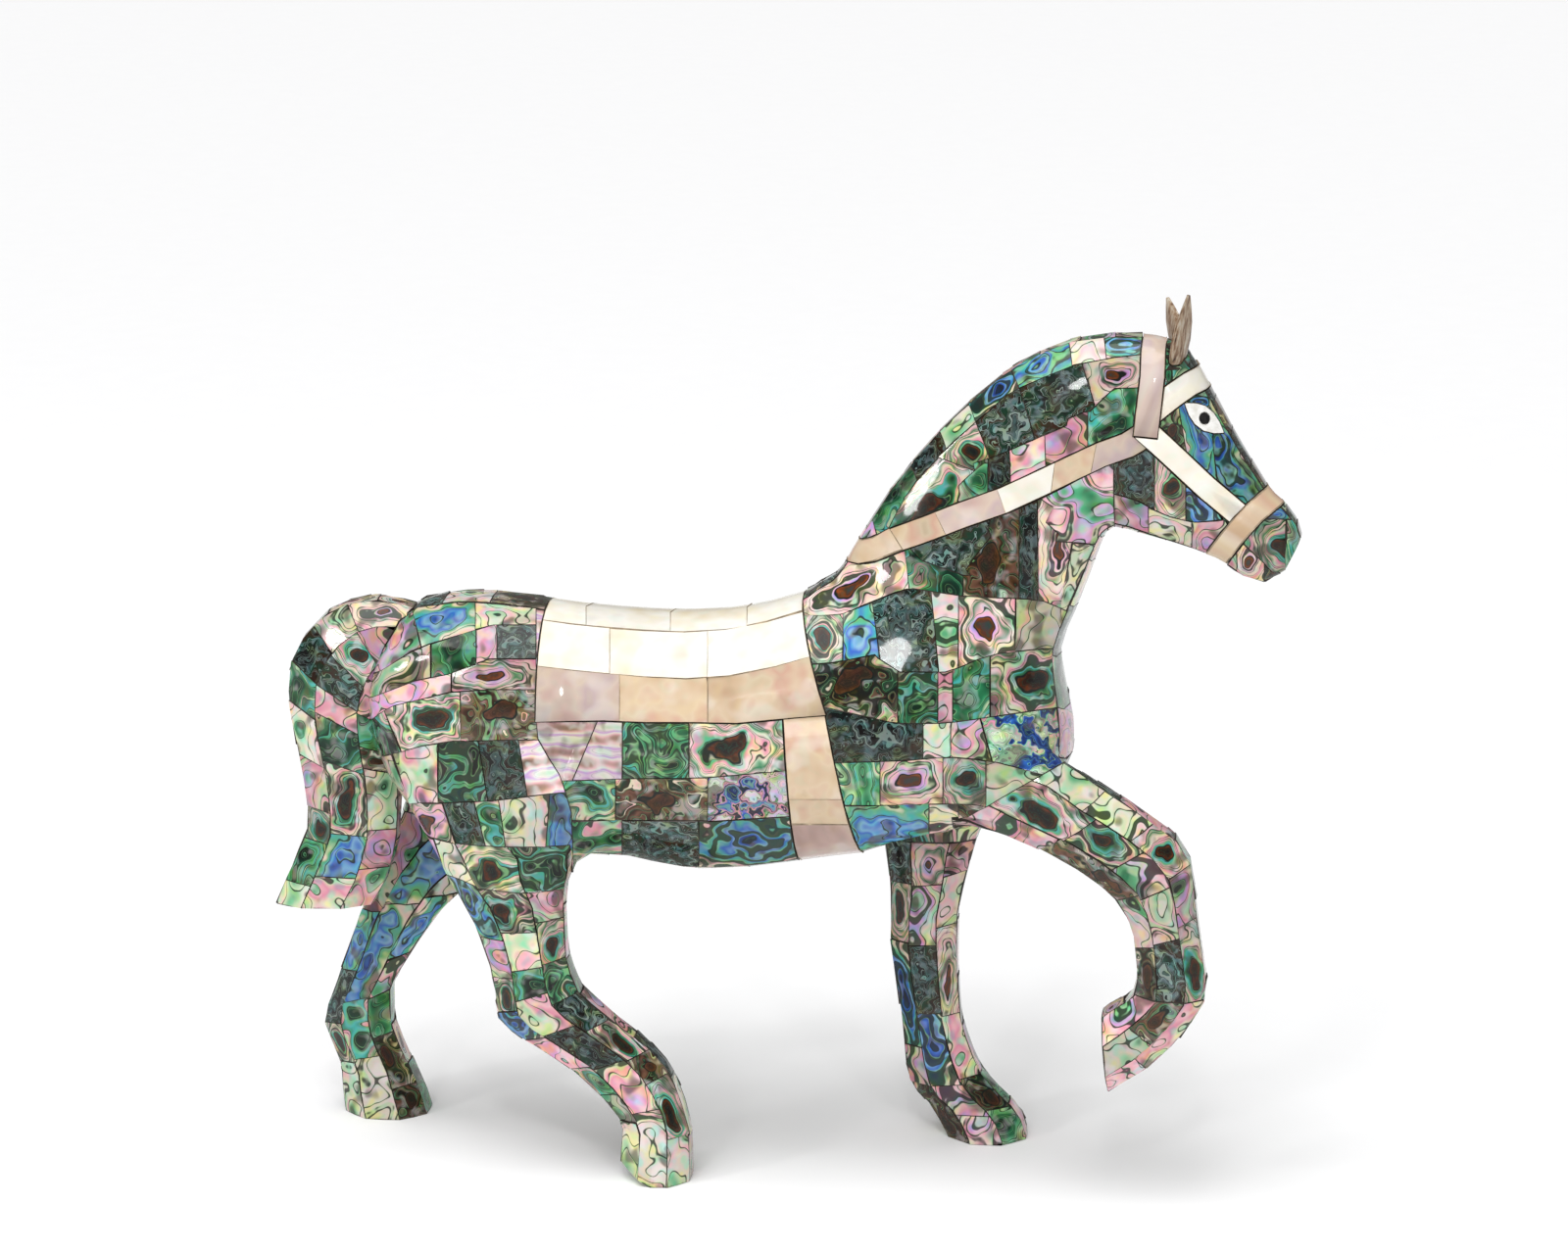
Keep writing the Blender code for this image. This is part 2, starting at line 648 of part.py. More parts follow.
def eye_disc(name, far, length, height, low, high, finish=None, round_shape=False):
    """An almond or round plate on the side of the head."""
    centre = (EYE_PLACE[0], 180.0 - EYE_PLACE[1]) if far else EYE_PLACE
    toward = (EYE_TOWARD[0], 180.0 - EYE_TOWARD[1]) if far else EYE_TOWARD
    forward = spine_point(*toward) - spine_point(*centre)
    forward /= np.linalg.norm(forward)
    along, around = spine_slopes(*centre)
    outward = np.cross(around, along)
    outward /= np.linalg.norm(outward)
    side = np.cross(outward, forward)
    count = EYE_SIDES
    rings = []
    for share in (0.5, 1.0):
        ring = []
        for k in range(count):
            turn = 2 * math.pi * k / count
            x = math.cos(turn)
            y = math.sin(turn) if round_shape else math.copysign(1 - x * x, math.sin(turn)) if k % (count // 2) else 0.0
            ring.append(beside(*centre, (forward * x * length + side * y * height) * share / 2))
        rings.append(ring)
    upper = [surface(*centre, high)] + [surface(*p, high) for ring in rings for p in ring]
    under = [surface(*centre, low)] + [surface(*p, low) for ring in rings for p in ring]
    shift = len(upper)
    faces = []
    for k in range(count):
        n = (k + 1) % count
        for part in ((0, 1 + k, 1 + n), (1 + k, 1 + count + k, 1 + count + n, 1 + n)):
            faces.append(part)
            faces.append(tuple(v + shift for v in reversed(part)))
        faces.append((1 + count + k, 1 + count + n, 1 + count + n + shift, 1 + count + k + shift))
    return new_object(name, upper + under, faces, finish)


def ear(name, ends, grow, finish=None):
    """A pointed ear with a shallow hollow that faces forward."""
    root = np.array(ends[:3]) * SHARE
    tip = np.array(ends[3:]) * SHARE
    axis = (tip - root) / np.linalg.norm(tip - root)
    outer = np.array((0.0, math.copysign(1.0, ends[1]), 0.0))
    front = np.array((1.0, 0.0, 0.0)) - axis * axis[0]
    front = front / np.linalg.norm(front) * 0.82 + outer * 0.57
    front -= axis * np.dot(front, axis)
    front /= np.linalg.norm(front)
    across = np.cross(axis, front)
    reach = np.linalg.norm(tip - root)
    shape = Shape()
    rings = []
    stages = ((-EAR_SEAT_DEPTH - 0.0008, 0.80), (0.0, 0.92), (0.25 * reach, 1.0), (0.55 * reach, 0.84),
              (0.80 * reach, 0.50), (reach, 0.12))
    for height, share in stages:
        wide = EAR_WIDTH / 2 * share + grow
        deep = EAR_THICKNESS / 2 * max(share, 0.3) + grow
        hollow = 0.0 if grow else min(0.35, 0.35 * height / reach) if height > 0 else 0.0
        outline = ((1.0, 0.35), (0.5, 0.75 - hollow), (0.0, 0.85 - 2 * hollow), (-0.5, 0.75 - hollow),
                   (-1.0, 0.35), (-0.75, -0.6), (0.0, -1.0), (0.75, -0.6))
        start = -grow if height < 0 else 0.0
        rings.append(shape.add_ring([root + axis * (height + start) + across * w * wide + front * d * deep
                                     for w, d in outline]))
    shape.faces.append(tuple(rings[0]))
    for one, two in zip(rings, rings[1:]):
        shape.join(one, two)
    shape.faces.append(tuple(rings[-1]))
    return new_object(name, shape.points, shape.faces, finish)


def far_line(line):
    """The same line on the far side."""
    return tuple((s, 180.0 - a) for s, a in line)


def main():
    clear_scene()
    abalone = material("abalone", (0.25, 0.4, 0.38), 0.25)
    pearl = material("pearl", (0.86, 0.80, 0.70), 0.25)
    horn = material("ear_shell", (0.45, 0.36, 0.27), 0.3)
    white = material("eye_white", (0.9, 0.9, 0.86), 0.2)
    black = material("eye_black", (0.01, 0.01, 0.01), 0.2)

    body = build_body()
    combine(body, build_tail(), "UNION")
    ground = box("ground", (-1, -1, -1), (1, 1, GROUND_HEIGHT * SHARE))
    combine(body, ground, "DIFFERENCE")

    blanket = slab("saddle_blanket", blanket_places(0.0), -SHELL_THICKNESS, 0.0, False, pearl)
    blanket_pocket = slab("blanket_pocket", blanket_places(JOINT_GAP), -SHELL_THICKNESS - JOINT_GAP, 0.0025)
    girth = slab("girth", girth_places(0.0), -SHELL_THICKNESS, 0.0, False, pearl)
    girth_pocket = slab("girth_pocket", girth_places(JOINT_GAP), -SHELL_THICKNESS - JOINT_GAP - POCKET_STEP, 0.0025)
    reins, rein_pocket = strap("reins", REIN_LINE, REIN_WIDTH, 1, pearl, 6)
    crown, crown_pocket = strap("crownpiece", CROWN_LINE, BRIDLE_WIDTH, 1, pearl, 0)
    brow, brow_pocket = strap("browband", BROW_LINE, BRIDLE_WIDTH, 1, pearl, 2)
    nose, nose_pocket = strap("noseband", NOSE_LINE, BRIDLE_WIDTH, 1, pearl, 0, False, True)
    near_cheek, near_pocket = strap("cheekpiece_right", CHEEK_LINE, BRIDLE_WIDTH, 1, pearl, 4, False)
    far_cheek, far_pocket = strap("cheekpiece_left", far_line(CHEEK_LINE), BRIDLE_WIDTH, 1, pearl, 4, False)

    for cheek in (near_cheek, far_cheek):
        cut(cheek, crown_pocket)
        cut(cheek, nose_pocket)
    cut(brow, crown_pocket)
    for pocket in (crown_pocket, near_pocket, far_pocket):
        cut(reins, pocket)

    pockets = [blanket_pocket, girth_pocket, rein_pocket, crown_pocket, brow_pocket, nose_pocket,
               near_pocket, far_pocket]
    eye_depth = SHELL_THICKNESS * 1.6
    for side, far in (("right", False), ("left", True)):
        eye = eye_disc("eye_" + side, far, EYE_LENGTH, EYE_HEIGHT, -eye_depth, 0.0, white)
        cut(eye, brow_pocket)
        seat = eye_disc("eye_pocket_" + side, far, EYE_LENGTH + 2 * JOINT_GAP, EYE_HEIGHT + 2 * JOINT_GAP,
                        -eye_depth - JOINT_GAP, 0.0025)
        pockets.append(seat)
        pupil_depth = SHELL_THICKNESS * 0.7
        eye_disc("pupil_" + side, far, PUPIL_DIAMETER, PUPIL_DIAMETER, -pupil_depth, 0.0, black, True)
        hole = eye_disc("pupil_pocket_" + side, far, PUPIL_DIAMETER + 2 * JOINT_GAP,
                        PUPIL_DIAMETER + 2 * JOINT_GAP, -pupil_depth - JOINT_GAP, 0.0025, None, True)
        combine(eye, hole, "DIFFERENCE")
        ends = EAR_LEFT if far else EAR_RIGHT
        ear("ear_" + side, ends, 0.0, horn)
        pockets.append(ear("ear_pocket_" + side, ends, JOINT_GAP))

    for pocket in pockets:
        combine(body, pocket, "DIFFERENCE")
        drop_crumbs(body)
    body.data.materials.clear()
    body.data.materials.append(abalone)

    things = [thing for thing in bpy.data.objects if thing.type == "MESH"]
    corners = np.array([tuple(v.co) for thing in things for v in thing.data.vertices])
    low = corners.min(axis=0)
    high = corners.max(axis=0)
    shift = Vector(((low[0] + high[0]) / 2, (low[1] + high[1]) / 2, low[2]))
    for thing in things:
        for vertex in thing.data.vertices:
            vertex.co -= shift
    return shift


GROUND_SHIFT = main()
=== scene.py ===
"""Inlaid horse: abalone tiles over the whole body, with blanket, girth, reins and bridle of pearl."""
from __future__ import annotations

import logging
import math
import random
from collections import defaultdict
from dataclasses import dataclass, field
from enum import Enum
from typing import Callable, Iterable, Sequence

import bmesh
import bpy
import numpy as np
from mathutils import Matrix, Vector
from mathutils.bvhtree import BVHTree
from mathutils.kdtree import KDTree


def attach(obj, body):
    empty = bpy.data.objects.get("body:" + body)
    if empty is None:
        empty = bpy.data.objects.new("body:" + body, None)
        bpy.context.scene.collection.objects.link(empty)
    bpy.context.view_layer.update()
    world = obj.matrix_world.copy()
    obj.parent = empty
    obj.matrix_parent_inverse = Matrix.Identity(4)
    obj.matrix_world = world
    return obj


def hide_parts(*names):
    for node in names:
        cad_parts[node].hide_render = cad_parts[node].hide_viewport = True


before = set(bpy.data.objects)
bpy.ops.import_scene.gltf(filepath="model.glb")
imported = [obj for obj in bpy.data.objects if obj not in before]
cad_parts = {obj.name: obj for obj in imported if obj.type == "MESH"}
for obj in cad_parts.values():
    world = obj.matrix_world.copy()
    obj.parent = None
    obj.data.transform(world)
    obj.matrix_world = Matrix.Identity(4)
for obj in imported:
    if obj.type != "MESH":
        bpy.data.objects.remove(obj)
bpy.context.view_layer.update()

log = logging.getLogger("inlaid_horse")

# Lengths are in metres; DRAWING starts the random draws of tiles that the sheet doesn't show
MM = 0.001
BODY = "root"
DRAWING = 41

Colour = tuple[float, float, float]
Line = tuple[tuple[float, float], ...]
Ahead = Callable[[bmesh.types.BMVert], float]
Faces = list[bmesh.types.BMFace]


class Shell(Enum):
    """The cuts of shell that the tiles are made from, by their look."""

    RING = "R"
    MOSS = "G"
    FLASH = "B"
    BURR = "K"
    ROSE = "P"
    PALE = "W"
    FLAME = "F"
    SPOT = "S"
    BARK = "D"
    OPAL = "C"
    IVORY = "i"
    BISQUE = "b"
    BLUSH = "u"
    GROUT = "."
    PUTTY = ","


@dataclass(frozen=True)
class Joint:
    """How tiles meet: the filler, half the joint's width, its depth and how flat the tiles are ground."""

    filler: Shell
    half: float
    depth: float
    flat_share: float


TILE_JOINT = Joint(Shell.GROUT, 0.16 * MM, 0.24 * MM, 0.6)
PEARL_JOINT = Joint(Shell.PUTTY, 0.10 * MM, 0.08 * MM, 0.3)

# The carving is drawn in shares: the horse is 102.2 shares from tail to nose, then centred
HORSE_LENGTH = 0.306
SHARE = HORSE_LENGTH / 102.2
ROW_SHIFT = np.array((-0.0017965, 0.0009143, 0.0014971))
MIDDLE = -float(ROW_SHIFT[1])

# Section angles: round the trunk in degrees, round a limb in sixteenths of a round
FULL_TURN = 360.0
ROUND = 16.0
SIXTEENTH = FULL_TURN / ROUND
CORNER_EASE = 0.97

# Points closer than MERGED are one, and shorter edges than SLIVER are closed up
MERGED = 0.01 * MM
SLIVER = 0.03 * MM
NEAR_LEVEL = 0.10 * MM
SMALLEST_TILE = 3.5 * MM * MM
SMALLEST_REACH = 1.0 * MM

# Grinding moves a point MOST_GROUND at most, and each tile slants by up to SLANT
MOST_GROUND = 0.35 * MM
SLANT = 0.055
TRIAL_TURNS = 12
STEEP = 0.8
TINY = 1e-12

# Trunk, neck and head: top x and z, bottom x and z, half width, squareness, narrowing upward
SPINE = np.array((
    (-40.9, 49.6, -40.9, 44.6, 3.4, 2.0, 0.0), (-40.4, 51.6, -40.4, 41.6, 5.6, 2.1, 0.0),
    (-39.4, 54.0, -39.4, 38.6, 7.2, 2.2, 0.0), (-38.0, 56.2, -38.0, 36.0, 8.3, 2.2, 0.0),
    (-36.0, 57.6, -36.0, 34.0, 9.0, 2.2, 0.0), (-32.0, 58.4, -32.0, 32.9, 9.7, 2.2, 0.0),
    (-28.0, 58.3, -28.0, 32.7, 10.0, 2.2, 0.0), (-24.0, 57.9, -24.0, 32.6, 9.9, 2.2, 0.0),
    (-20.0, 57.4, -20.0, 32.5, 9.8, 2.2, 0.0), (-15.0, 57.1, -15.0, 32.0, 9.8, 2.2, 0.0),
    (-9.5, 57.0, -9.5, 31.0, 9.9, 2.2, 0.0), (-4.0, 57.6, -3.0, 31.3, 9.9, 2.2, 0.02),
    (1.6, 59.2, 4.2, 32.6, 9.9, 2.2, 0.08), (3.4, 60.4, 12.0, 33.8, 9.9, 2.2, 0.16),
    (4.8, 61.3, 19.5, 34.8, 9.8, 2.2, 0.24), (5.8, 62.5, 25.6, 36.6, 9.5, 2.2, 0.30),
    (6.6, 63.9, 29.3, 41.0, 8.9, 2.2, 0.34), (7.7, 65.8, 29.1, 45.7, 8.2, 2.2, 0.36),
    (9.3, 68.4, 28.0, 50.1, 7.5, 2.2, 0.36), (11.0, 70.9, 27.4, 54.4, 6.8, 2.2, 0.34),
    (13.2, 73.8, 28.7, 58.2, 6.2, 2.2, 0.32), (15.7, 76.7, 30.0, 61.8, 5.7, 2.2, 0.28),
    (19.0, 79.8, 31.0, 64.8, 5.3, 2.2, 0.22), (22.7, 82.8, 31.5, 66.0, 5.0, 2.3, 0.14),
    (27.8, 85.2, 31.9, 66.4, 4.8, 2.4, 0.08), (32.0, 85.8, 32.3, 66.7, 4.7, 2.5, 0.02),
    (35.8, 85.8, 32.8, 66.6, 4.7, 2.6, 0.0), (38.9, 84.6, 33.5, 66.5, 4.6, 2.6, 0.0),
    (40.7, 82.0, 34.6, 66.2, 4.5, 2.6, 0.0), (42.5, 78.7, 36.3, 65.8, 4.3, 2.6, 0.0),
    (44.1, 75.8, 38.2, 65.3, 4.0, 2.6, 0.0), (45.7, 73.2, 40.3, 64.7, 3.7, 2.6, 0.0),
    (47.2, 70.9, 42.4, 63.8, 3.4, 2.5, 0.0), (48.6, 69.6, 44.6, 62.2, 3.3, 2.4, 0.0),
    (49.7, 68.2, 46.8, 61.7, 3.1, 2.3, 0.0), (50.4, 66.6, 48.6, 62.9, 2.5, 2.2, 0.0)))

# Legs: rear x and z, front x and z, half width; the last row is the sole
NEAR_HIND = np.array((
    (-37.2, 34.4, -19.4, 33.6, 4.4), (-34.3, 31.4, -19.9, 31.2, 4.2), (-31.6, 28.7, -20.2, 28.8, 3.9),
    (-29.6, 25.7, -20.5, 26.2, 3.6), (-28.4, 22.2, -20.5, 23.6, 3.3), (-28.0, 19.5, -20.3, 21.9, 3.1),
    (-27.8, 17.0, -19.5, 20.1, 3.1), (-26.5, 15.5, -18.2, 18.8, 3.0), (-24.2, 14.2, -16.4, 17.3, 2.7),
    (-21.8, 12.6, -14.1, 15.6, 2.6), (-19.8, 11.2, -12.3, 14.1, 2.6), (-18.2, 9.7, -11.0, 12.7, 2.7),
    (-16.9, 8.4, -9.9, 10.6, 2.8), (-15.8, 7.0, -9.1, 8.4, 2.8), (-15.3, 5.8, -8.6, 6.1, 2.9),
    (-15.6, 3.9, -8.4, 3.0, 3.4), (-15.7, 2.4, -8.6, -1.6, 3.6)))
FAR_HIND = np.array((
    (-38.6, 35.0, -23.6, 32.0, 4.3), (-41.8, 30.8, -28.2, 28.8, 4.1), (-44.2, 26.2, -33.0, 25.8, 3.9),
    (-45.6, 21.4, -36.4, 22.4, 3.6), (-46.3, 17.9, -38.5, 19.4, 3.3), (-47.2, 14.9, -40.3, 16.4, 3.1),
    (-48.3, 12.2, -41.6, 14.0, 3.1), (-48.6, 10.2, -41.6, 11.9, 3.0), (-48.2, 8.6, -41.4, 9.8, 2.7),
    (-47.4, 6.5, -40.7, 7.8, 2.7), (-46.9, 4.7, -39.7, 5.8, 2.8), (-47.0, 3.0, -38.9, 4.0, 3.1),
    (-46.8, 1.0, -38.1, 1.7, 3.5), (-46.2, -1.0, -37.6, -1.0, 3.6)))
FAR_FORE = np.array((
    (8.2, 33.2, 21.4, 34.0, 3.9), (8.6, 31.0, 19.5, 32.0, 3.7), (9.3, 28.9, 18.6, 29.8, 3.5),
    (9.9, 26.6, 17.8, 27.3, 3.3), (10.0, 24.2, 17.2, 24.8, 3.1), (10.1, 21.3, 17.0, 21.7, 2.9),
    (10.4, 18.9, 17.1, 18.9, 2.8), (10.9, 16.0, 17.2, 16.1, 2.6), (11.3, 13.2, 17.5, 13.3, 2.5),
    (11.6, 10.7, 18.0, 11.1, 2.5), (11.8, 8.6, 18.7, 9.2, 2.6), (12.1, 6.5, 19.8, 7.2, 2.8),
    (12.9, 5.1, 21.3, 5.3, 2.9), (14.2, 4.1, 22.7, 4.0, 3.1), (15.1, 2.7, 23.9, 2.6, 3.4),
    (16.0, 1.0, 24.4, 1.0, 3.6), (16.8, -1.0, 24.0, -1.0, 3.6)))
NEAR_FORE = np.array((
    (17.4, 37.6, 28.6, 47.0, 4.3), (20.4, 37.1, 30.4, 45.4, 4.0), (23.8, 36.6, 32.0, 43.2, 3.7),
    (26.6, 35.6, 34.5, 41.4, 3.4), (29.2, 34.4, 37.0, 39.5, 3.2), (31.4, 33.0, 39.2, 37.7, 3.1),
    (33.2, 31.5, 40.6, 35.4, 3.0), (34.4, 29.7, 41.0, 32.6, 2.9), (35.1, 27.6, 41.3, 29.6, 2.7),
    (35.4, 25.0, 41.8, 26.6, 2.6), (35.5, 22.9, 42.3, 23.6, 2.7), (35.2, 21.6, 42.2, 21.3, 2.8),
    (34.4, 20.9, 41.1, 19.0, 2.9), (33.5, 20.4, 39.2, 16.5, 3.2), (32.8, 20.0, 36.4, 13.9, 3.5),
    (32.2, 19.4, 32.9, 11.6, 3.6)))
# Tail: outer x and z, inner x and z, half width
TAIL = np.array((
    (-35.2, 56.6, -35.6, 50.5, 2.4), (-38.0, 57.4, -37.0, 50.5, 2.8), (-41.0, 57.8, -38.0, 50.0, 3.1),
    (-43.6, 57.3, -38.6, 49.2, 3.3), (-46.0, 55.9, -39.0, 47.8, 3.4), (-48.0, 53.8, -39.2, 46.2, 3.5),
    (-49.3, 51.2, -39.2, 44.6, 3.5), (-49.7, 48.2, -39.0, 42.8, 3.4), (-49.5, 45.2, -38.8, 41.0, 3.3),
    (-48.9, 42.2, -38.6, 39.0, 3.2), (-48.4, 39.2, -38.6, 37.2, 3.1), (-48.1, 36.2, -38.7, 35.2, 2.9),
    (-48.1, 33.7, -38.9, 33.2, 2.8), (-49.1, 31.4, -39.3, 31.0, 2.9), (-50.3, 28.9, -40.0, 28.6, 3.0),
    (-51.6, 25.7, -41.6, 25.9, 2.9)))


def between_rows(rows: np.ndarray, at: np.ndarray) -> np.ndarray:
    """Reads a table at broken row numbers along a smooth curve.

    Args:
        rows: The table, one row a section.
        at: Row numbers.

    Returns:
        One line of values for each row number.
    """
    last = len(rows) - 1
    at = np.clip(at, 0.0, last)
    low = np.minimum(at.astype(int), last - 1)
    part = (at - low)[:, None]
    before, start = rows[np.maximum(low - 1, 0)], rows[low]
    end, after = rows[low + 1], rows[np.minimum(low + 2, last)]
    return 0.5 * (2 * start + (end - before) * part + (2 * before - 5 * start + 4 * end - after) * part ** 2
                  + (3 * start - before - 3 * end + after) * part ** 3)


def trunk_points(stations: np.ndarray, turns: np.ndarray) -> np.ndarray:
    """Points on trunk, neck and head.

    Args:
        stations: Row numbers, from rump to nose.
        turns: Section angles in degrees; 90 is the back and -90 the belly.

    Returns:
        One point for each station.
    """
    top_x, top_z, low_x, low_z, half, square, narrow = between_rows(SPINE, stations).T
    cos, sin = np.cos(np.radians(turns)), np.sin(np.radians(turns))
    side = np.sign(cos) * np.abs(cos) ** (2 / square)
    rise = np.sign(sin) * np.abs(sin) ** (2 / square)
    x = (top_x + low_x) / 2 + (top_x - low_x) / 2 * rise
    z = (top_z + low_z) / 2 + (top_z - low_z) / 2 * rise
    y = -half * side * (1 - narrow * rise)
    return np.stack((x, y, z), axis=1) * SHARE - ROW_SHIFT


@dataclass(frozen=True)
class Limb:
    """An eight-sided leg or tail, as a table of sections and its distance across the horse."""

    rows: np.ndarray
    track: float

    @property
    def last(self) -> int:
        """The number of the last section."""
        return len(self.rows) - 1

    def points(self, stations: np.ndarray, turns: np.ndarray) -> np.ndarray:
        """Points on the limb.

        Args:
            stations: Row numbers, from the root down.
            turns: Turns in sixteenths of a round, from the front over the left side.

        Returns:
            One point for each station.
        """
        rear_x, rear_z, front_x, front_z, half = between_rows(self.rows, stations).T
        turn = np.radians(SIXTEENTH * turns)
        cos, sin = np.abs(np.cos(turn)), np.abs(np.sin(turn))
        spread = 1.0 / np.maximum(np.maximum(cos, sin), (cos + sin) / math.sqrt(2))
        spread *= np.where(np.round(turns).astype(int) % 2 == 1, CORNER_EASE, 1.0)
        along = np.cos(turn) * spread
        x = ((rear_x + front_x) + (front_x - rear_x) * along) / 2 * SHARE
        z = ((rear_z + front_z) + (front_z - rear_z) * along) / 2 * SHARE
        y = self.track + half * SHARE * np.sin(turn) * spread
        return np.stack((x, y, z), axis=1) - ROW_SHIFT


LIMBS = {
    "near_hind": Limb(NEAR_HIND, -0.0220),
    "far_hind": Limb(FAR_HIND, 0.0240),
    "near_fore": Limb(NEAR_FORE, -0.0215),
    "far_fore": Limb(FAR_FORE, 0.0225),
    "tail": Limb(TAIL, 0.0),
}


class Sheet:
    """The drawing sheet of the tile layout: the horse's right side as the camera sees it, 1600 by 1279."""

    eye = np.array((0.13305, -1.24974, 0.50202))
    ahead = np.array((-0.100967, 0.960634, -0.258819))
    reach = 4504.5
    middle = (800.0, 639.5)

    def __init__(self) -> None:
        """Works out the sheet's own axes."""
        self.ahead = self.ahead / np.linalg.norm(self.ahead)
        self.right = np.cross(self.ahead, (0.0, 0.0, 1.0))
        self.right /= np.linalg.norm(self.right)
        self.up = np.cross(self.right, self.ahead)

    def place(self, point: Sequence[float]) -> tuple[float, float]:
        """Where a point is drawn; the left side is drawn as its mirror image.

        Args:
            point: A point of the horse.

        Returns:
            How far right and down it is on the sheet.
        """
        offset = np.array((point[0], MIDDLE - abs(point[1] - MIDDLE), point[2])) - self.eye
        depth = offset @ self.ahead
        right, up = self.reach * (offset @ self.right) / depth, self.reach * (offset @ self.up) / depth
        return self.middle[0] + right, self.middle[1] - up


class Chart:
    """Finds station and turn of points on one of the carved surfaces."""

    nudge = 0.02
    most_stations = 0.1
    most_turn = 2.0
    rounds = 2
    flattest = 1e-18

    def __init__(self, shape: Callable[[np.ndarray, np.ndarray], np.ndarray], last: float, turns: np.ndarray,
                 step: float = 0.1) -> None:
        """Samples the surface.

        Args:
            shape: Gives points for stations and turns.
            last: The last station.
            turns: The turns to sample.
            step: Distance between stations.
        """
        stations = np.arange(0.0, last + step / 2, step)
        grid = np.meshgrid(stations, turns, indexing="ij")
        self.shape = shape
        self.last = last
        self.stations, self.turns = grid[0].ravel(), grid[1].ravel()
        points = shape(self.stations, self.turns)
        self.tree = KDTree(len(points))
        for number, point in enumerate(points):
            self.tree.insert(point, number)
        self.tree.balance()

    def slope(self, station: np.ndarray, turn: np.ndarray) -> tuple[np.ndarray, np.ndarray]:
        """How the surface runs on at a place.

        Args:
            station: Stations.
            turn: Turns.

        Returns:
            The way for one more station and for one more turn.
        """
        by_station = self.shape(station + self.nudge, turn) - self.shape(station - self.nudge, turn)
        by_turn = self.shape(station, turn + self.nudge) - self.shape(station, turn - self.nudge)
        return by_station / (2 * self.nudge), by_turn / (2 * self.nudge)

    def read(self, points: np.ndarray) -> tuple[np.ndarray, np.ndarray, np.ndarray]:
        """Reads points off the surface: the nearest sample first, then closer by its slopes.

        Args:
            points: The points.

        Returns:
            Station, turn and distance of each point.
        """
        numbers = np.array([self.tree.find(point)[1] for point in points])
        station, turn = self.stations[numbers].copy(), self.turns[numbers].copy()
        for _ in range(self.rounds):
            off = points - self.shape(station, turn)
            by_station, by_turn = self.slope(station, turn)
            a, b, c = (by_station ** 2).sum(1), (by_station * by_turn).sum(1), (by_turn ** 2).sum(1)
            d, e = (by_station * off).sum(1), (by_turn * off).sum(1)
            whole = np.maximum(a * c - b * b, self.flattest)
            station += np.clip((d * c - e * b) / whole, -self.most_stations, self.most_stations)
            turn += np.clip((e * a - d * b) / whole, -self.most_turn, self.most_turn)
            station = np.clip(station, 0.0, self.last)
        return station, turn, np.linalg.norm(points - self.shape(station, turn), axis=1)


# Cutting tiles


def level_line(points: Line) -> Callable[[Sequence[float]], float]:
    """A line on the sheet from left to right.

    Args:
        points: The line.

    Returns:
        Tells how far below the line a spot lies.
    """
    across, down = zip(*points)
    return lambda spot: spot[1] - float(np.interp(spot[0], across, down))


def upright_line(points: Line) -> Callable[[Sequence[float]], float]:
    """A line on the sheet from top to bottom.

    Args:
        points: The line.

    Returns:
        Tells how far right of the line a spot lies.
    """
    across, down = zip(*points)
    return lambda spot: spot[0] - float(np.interp(spot[1], down, across))


def total_area(faces: Faces) -> float:
    """The area of some faces together."""
    return sum(face.calc_area() for face in faces)


@dataclass(frozen=True)
class Lie:
    """How a tile lies: its middle and facing, two ways on it, its turn, its own middle and its reach."""

    centre: Vector
    normal: Vector
    along: Vector
    around: Vector
    turn: tuple[float, float]
    middle: tuple[float, float]
    reach: tuple[float, float]

    @classmethod
    def of(cls, faces: Faces) -> "Lie":
        """Finds how a tile lies; its long way becomes its first direction.

        Args:
            faces: The tile's faces.

        Returns:
            The tile's lie.
        """
        centre, normal = Vector(), Vector()
        for face in faces:
            area = face.calc_area()
            centre += face.calc_center_median() * area
            normal += face.normal * area
        centre /= max(total_area(faces), TINY)
        normal.normalize()
        along = Vector((1.0, 0.0, 0.0)) if abs(normal.x) < STEEP else Vector((0.0, 0.0, 1.0))
        along = (along - normal * along.dot(normal)).normalized()
        around = normal.cross(along)
        flat = [((v.co - centre).dot(along), (v.co - centre).dot(around)) for f in faces for v in f.verts]
        best = None
        for step in range(TRIAL_TURNS):
            cos, sin = math.cos(math.pi * step / TRIAL_TURNS), math.sin(math.pi * step / TRIAL_TURNS)
            one = [x * cos + y * sin for x, y in flat]
            two = [y * cos - x * sin for x, y in flat]
            long, wide = max(one) - min(one), max(two) - min(two)
            if long >= wide and (best is None or long * wide < best[0]):
                middle = (min(one) + max(one)) / 2, (min(two) + max(two)) / 2
                best = long * wide, (cos, sin), middle, (long / 2, wide / 2)
        _, turn, middle, (reach_one, reach_two) = best
        reach = max(reach_one, SMALLEST_REACH), max(reach_two, SMALLEST_REACH)
        return cls(centre, normal, along, around, turn, middle, reach)

    def place(self, point: Vector) -> tuple[float, float]:
        """Where a point is on the tile.

        Args:
            point: A point of the tile.

        Returns:
            Its distances from the tile's middle, the long way first.
        """
        x, y = (point - self.centre).dot(self.along), (point - self.centre).dot(self.around)
        cos, sin = self.turn
        return x * cos + y * sin - self.middle[0], y * cos - x * sin - self.middle[1]


